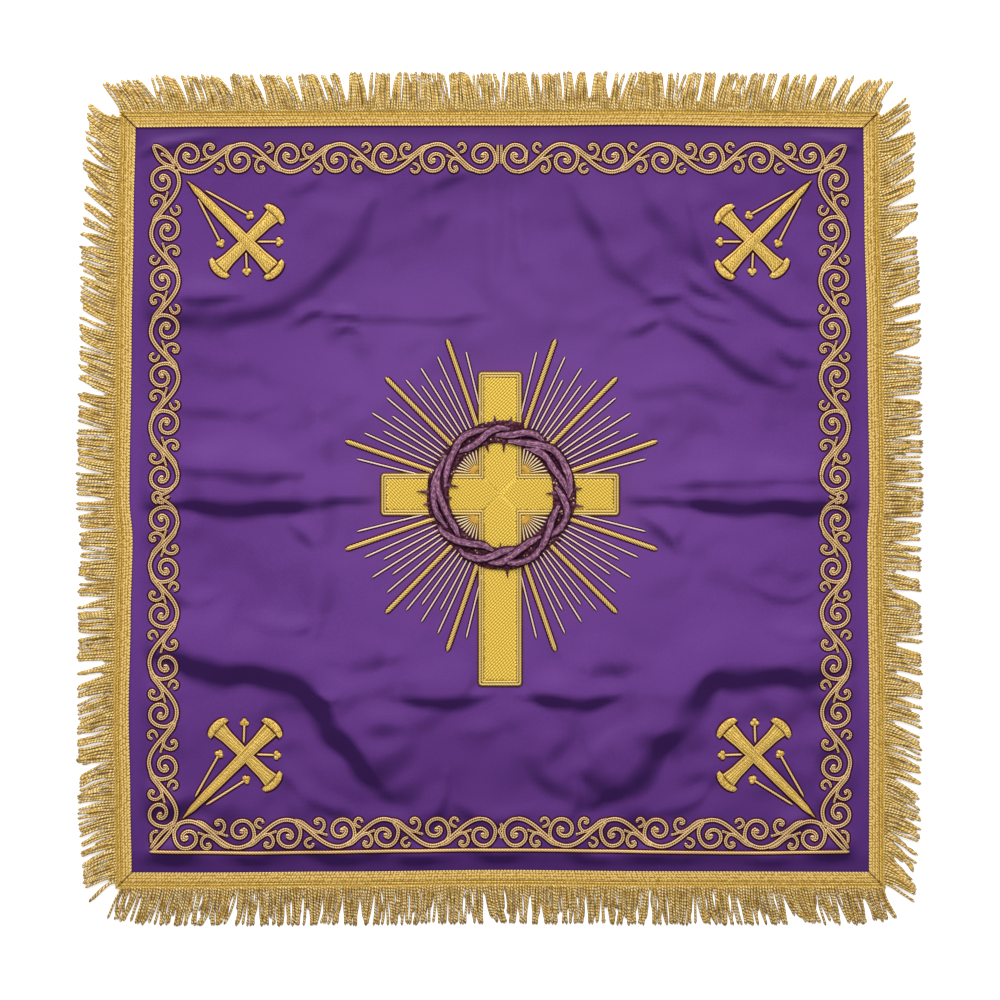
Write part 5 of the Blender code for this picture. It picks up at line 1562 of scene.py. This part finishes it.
THORN_TIPS = (  # in the photo, and whether the thorn points out of the ring
    ((494.5, 415.2), True), ((511.3, 416.5), True), ((416.6, 491.5), True), ((423, 504.6), True),
    ((582.2, 488.3), True), ((584, 506.7), True), ((507.6, 577.3), True), ((540.8, 566), True),
    ((434, 534), True), ((488.6, 452.2), False), ((503.5, 452.2), False), ((458.7, 487), False),
    ((452, 497.8), False), ((545.6, 493.7), False), ((500.4, 543), False), ((516, 544), False),
)


def build_crown():
    """The crown of thorns: a dark ring, the stems that wind round it and its thorns."""
    ring, stems, thorns = Mesh(), Mesh(), Mesh()
    angles = np.linspace(0, math.tau, CROWN_STATIONS, endpoint=False)
    wobble = sum(size * np.sin(waves * angles + phase) for size, waves, phase in CROWN_WOBBLES)
    middle, width = (CROWN_INNER + CROWN_OUTER) / 2, CROWN_OUTER - CROWN_INNER
    path = GLORY_CENTRE + middle * np.stack((np.sin(angles), np.cos(angles)), axis=-1)
    sweep(ring, path, width + wobble, CROWN_BAND, CROWN_SECTION, under_crown, looped=True)
    for number, (width, rows) in enumerate(CROWN_STEMS):
        points = [GLORY_CENTRE + (STEM_RING + STEM_SPREAD * (r - STEM_RING_CALLED)) * MM * clock(angle)
                  for angle, r in rows]
        path = curve(points, CROWN_STEM_STEP)
        widths = STEM_GAIN * width * MM * tapered(len(path), *CROWN_STEM_ENDS)
        heights = CROWN_STEM_HEIGHT * tapered(len(path), *CROWN_STEM_LOW_ENDS)
        lift = CROWN_STEM_LIFT + CROWN_STEM_ARCH * np.sin(math.pi * np.linspace(0, 1, len(path)))
        sweep(stems, path, widths, heights, STEM, under_crown, lift=lift + CROWN_STEM_LAYER * (number % 3))
    for place, outward in THORN_TIPS:
        tip = np.array(from_photo(place)[0])
        start = CROWN_OUTER - THORN_ROOT_IN if outward else CROWN_INNER + THORN_ROOT_IN
        path = resample((GLORY_CENTRE + unit(tip - GLORY_CENTRE) * start, tip), 1.0 * MM)
        shares = np.linspace(1, THORN_POINT, len(path))
        sweep(thorns, path, THORN_WIDTH * shares, THORN_HEIGHT * shares, BARE_CORD, under_crown)
    return [ring.piece("crown_ground", "crown", "mauve_thread", ("crown_of_thorns",)),
            stems.piece("crown_stems", "stem", "mauve_thread"),
            thorns.piece("crown_thorns", "thorn", "mauve_thread")]


# The crossed nails (mm), and their outlines as (share of the length, width in mm)
NAILS_MM = {
    "top_left": ((-220.3, 223.9), (-159.4, 161.7), (-197.5, 162.9), (-159.1, 200.6)),
    "top_right": ((220.2, 224.4), (159.4, 161.7), (197.5, 162.9), (159.1, 200.6)),
    "bottom_left": ((-223.5, -225.7), (-160.8, -162.4), (-198.7, -162.4), (-160.8, -199.6)),
    "bottom_right": ((222.8, -225.2), (160.8, -162.4), (198.7, -162.4), (160.8, -199.6)),
}
LONG_NAIL_WIDTHS = ((0.0, 0.9), (0.13, 4.4), (0.29, 5.9), (0.45, 6.7), (0.66, 7.6), (0.82, 8.8), (0.97, 11.0))
BAR_WIDTHS = ((0.0, 11.0), (0.2, 8.6), (0.5, 7.6), (0.8, 8.6), (1.0, 11.0))
LONG_NAIL_END = 0.985
NECK_HALF, NECK_LIFT = 5.4, 1.55 * MM
LOBE_RADIUS, LOBES_MM = 1.75 * MM, ((-1.5, 0.0), (1.5, 0.0), (0.0, 1.7))
HEAD_HALF, HEAD_ROUND, HEAD_BULGE, HEAD_HOLLOW, HEAD_BACK = 8.9, 10.0, 6.2, 0.3, 1.3
NAIL_STEP, BAR_HEIGHT, LONG_NAIL_HEIGHT, LONG_NAIL_LIFT = 1.5 * MM, 1.2 * MM, 1.3 * MM, 0.35 * MM
HEAD_STATIONS, HEAD_HEIGHT, LONG_HEAD_LIFT, BAR_HEAD_LIFT = 25, 1.1 * MM, 0.4 * MM, 0.1 * MM
NECK_STATIONS, NECK_OUT, NECK_WIDTH, NECK_HEIGHT = 13, 0.4, 0.5 * MM, 0.25 * MM
PIN_WIDTH, PIN_HEIGHT, PIN_KNOB_GAP, LOBE_HEIGHT = 1.4 * MM, 0.8 * MM, 1.5 * MM, 1.3 * MM
LEFT_PINS_MM = {  # each pin's point and head; the right corners have them mirrored
    "top": (((-212.7, 211.4), (-197.0, 180.6)), ((-207.4, 217.3), (-176.5, 200.1)),
            ((-170.8, 181.3), (-155.9, 181.3)), ((-179.0, 173.4), (-178.4, 160.8))),
    "bottom": (((-214.8, -210.5), (-198.1, -180.8)), ((-207.0, -216.2), (-179.1, -198.7)),
               ((-171.2, -180.8), (-157.5, -181.3)), ((-180.6, -172.4), (-180.2, -158.7))),
}


def add_nail_head(mesh, neck, direction, lift):
    """A mushroom-shaped head: its inner edge slightly hollow across the neck, its outer edge an arc."""
    share = np.linspace(-1, 1, HEAD_STATIONS)
    outer = HEAD_BULGE * np.sqrt(1 - (share * HEAD_HALF / HEAD_ROUND) ** 2)
    inner = HEAD_HOLLOW * (1 - share ** 2)
    out = (outer + inner) / 2 - HEAD_BACK
    path = neck + (leftward_of(direction) * (share * HEAD_HALF)[:, None] + direction * out[:, None]) * MM
    normals = np.tile(-direction, (len(path), 1))
    sweep(mesh, path, (outer - inner) * MM, HEAD_HEIGHT * tapered(len(path), *HEAD_ENDS), NAIL_HEAD,
          on_cloth, lift=lift, normals=normals)


def add_neck_line(mesh, neck, direction):
    """A dark line of stitches between a head and its shaft."""
    share = np.linspace(-1, 1, NECK_STATIONS)
    out = HEAD_HOLLOW * (1 - share ** 2) - HEAD_BACK + NECK_OUT
    path = neck + (leftward_of(direction) * (share * NECK_HALF)[:, None] + direction * out[:, None]) * MM
    sweep(mesh, path, NECK_WIDTH, NECK_HEIGHT, BARE_CORD, on_cloth, lift=NECK_LIFT)


def add_shaft(mesh, start, end, last_share, widths, height, lift=0.0):
    """A nail's shaft, up to a share of the way from start to end."""
    path = resample((start, start + (end - start) * last_share), NAIL_STEP)
    share = np.linspace(0, last_share, len(path))
    sweep(mesh, path, read_table(widths, share) * MM, height, NAIL_SHAFT, on_cloth, lift=lift)


def build_nails(corner):
    """One corner's two crossed nails and its four pins."""
    tip, head, bar_start, bar_end = (np.array(p) * MM for p in NAILS_MM[corner])
    shafts, heads, necks, shanks, knobs = (Mesh() for _ in range(5))
    add_shaft(shafts, bar_start, bar_end, 1.0, BAR_WIDTHS, BAR_HEIGHT)
    add_shaft(shafts, tip, head, LONG_NAIL_END, LONG_NAIL_WIDTHS, LONG_NAIL_HEIGHT, LONG_NAIL_LIFT)
    along, across = unit(head - tip), unit(bar_end - bar_start)
    for neck, direction, lift in ((head, along, LONG_HEAD_LIFT), (bar_start, -across, BAR_HEAD_LIFT),
                                  (bar_end, across, BAR_HEAD_LIFT)):
        add_neck_line(necks, neck, direction)
        add_nail_head(heads, neck, direction, lift)
    upper, place = corner.split("_")
    mirror = (1, 1) if place == "left" else (-1, 1)
    for points in LEFT_PINS_MM[upper]:
        start, end = (np.array(point) * mirror * MM for point in points)
        direction = unit(end - start)
        path = resample((start, end - direction * PIN_KNOB_GAP), NAIL_STEP)
        sweep(shanks, path, PIN_WIDTH * tapered(len(path), *PIN_ENDS), PIN_HEIGHT, SINGLE_CORD, on_cloth)
        for aside, ahead in LOBES_MM:
            lobe = end + (leftward_of(direction) * aside + direction * ahead) * MM
            add_ball(knobs, lobe, LOBE_RADIUS, LOBE_HEIGHT)
    filled = "nail_slanted" if upper == "top" else "nail_long"
    nodes = [f"pin_{corner}_{n}" for n in range(1, 5)]
    return [shafts.piece(f"nail_shafts_{corner}", filled, "gold_thread", (f"nails_{corner}",)),
            heads.piece(f"nail_heads_{corner}", "head", "gold_thread"),
            necks.piece(f"nail_necks_{corner}", "outline", "gold_thread"),
            shanks.piece(f"pin_shanks_{corner}", "pin", "gold_thread", nodes),
            knobs.piece(f"pin_heads_{corner}", "head", "gold_thread")]


# Camera and light
CAMERA_HEIGHT = 3.0
CAMERA_PLACE = (0.35 * MM, -1.06 * MM)
SENSOR_MM, LENS_MM = 36.0, 152.8
FLOOR_SIZE = 8.0
FLOOR_DROP = 0.05 * MM
FLOOR_COLOUR, FLOOR_GLOW = (0.93, 0.93, 0.93, 1.0), 0.45
WHITE = (1.0, 1.0, 1.0, 1.0)
SKY_STRENGTH = 0.62
LAMP_PLACE, LAMP_SIZE, LAMP_POWER = (-0.5, 4.3, 3.6), 2.4, 285.0
HEADING_BASE = 1.3 * MM


def build_stage():
    """The camera above the cloth, the pale floor and the soft light."""
    scene = bpy.context.scene
    scene.view_settings.view_transform = "Standard"
    camera = bpy.data.objects.new("camera", bpy.data.cameras.new("camera"))
    scene.collection.objects.link(camera)
    camera.location = (*CAMERA_PLACE, CAMERA_HEIGHT)
    camera.data.sensor_width = SENSOR_MM
    camera.data.lens = LENS_MM
    scene.camera = camera

    mesh = bpy.data.meshes.new("floor")
    half = FLOOR_SIZE / 2
    corners = [(x, y, -FLOOR_DROP) for x, y in ((-half, -half), (half, -half), (half, half), (-half, half))]
    mesh.from_pydata(corners, [], [(0, 1, 2, 3)])
    s = Shader("floor")
    s.set(Base_Color=FLOOR_COLOUR, Roughness=0.9, Emission_Color=WHITE, Emission_Strength=FLOOR_GLOW,
          Specular_IOR_Level=0.1)
    mesh.materials.append(s.material)
    floor = bpy.data.objects.new("floor", mesh)
    scene.collection.objects.link(floor)

    scene.world = bpy.data.worlds.new("world")
    scene.world.use_nodes = True
    background = scene.world.node_tree.nodes["Background"]
    background.inputs["Color"].default_value = WHITE
    background.inputs["Strength"].default_value = SKY_STRENGTH

    light = bpy.data.lights.new("key", "AREA")
    light.size, light.energy = LAMP_SIZE, LAMP_POWER
    lamp = bpy.data.objects.new("key", light)
    lamp.location = LAMP_PLACE
    scene.collection.objects.link(lamp)
    lamp.rotation_mode = "QUATERNION"
    lamp.rotation_quaternion = (-Vector(LAMP_PLACE)).to_track_quat("-Z", "Y")


HEIGHTS = height_grid()


def main():
    build_stage()
    cloth = build_cloth()
    pieces = []
    for side in SIDES:
        pieces.append(edge_band(side, BRAID_SECTION_MM, BRAID_BASE, BRAID_STEP, f"braid_woven_{side}",
                                "braid", "gold_braid", (f"braid_{side}",)))
        pieces.append(edge_band(side, HEADING_SECTION_MM, HEADING_BASE, 2 * BRAID_STEP,
                                f"fringe_heading_{side}", "heading", "gold_fringe"))
        pieces += build_fringe(side)
        pieces.append(build_vine(side))
    pieces.append(build_mitres())
    pieces += build_corners() + build_cross() + build_rays() + build_crown()
    for corner in NAILS_MM:
        pieces += build_nails(corner)


main()
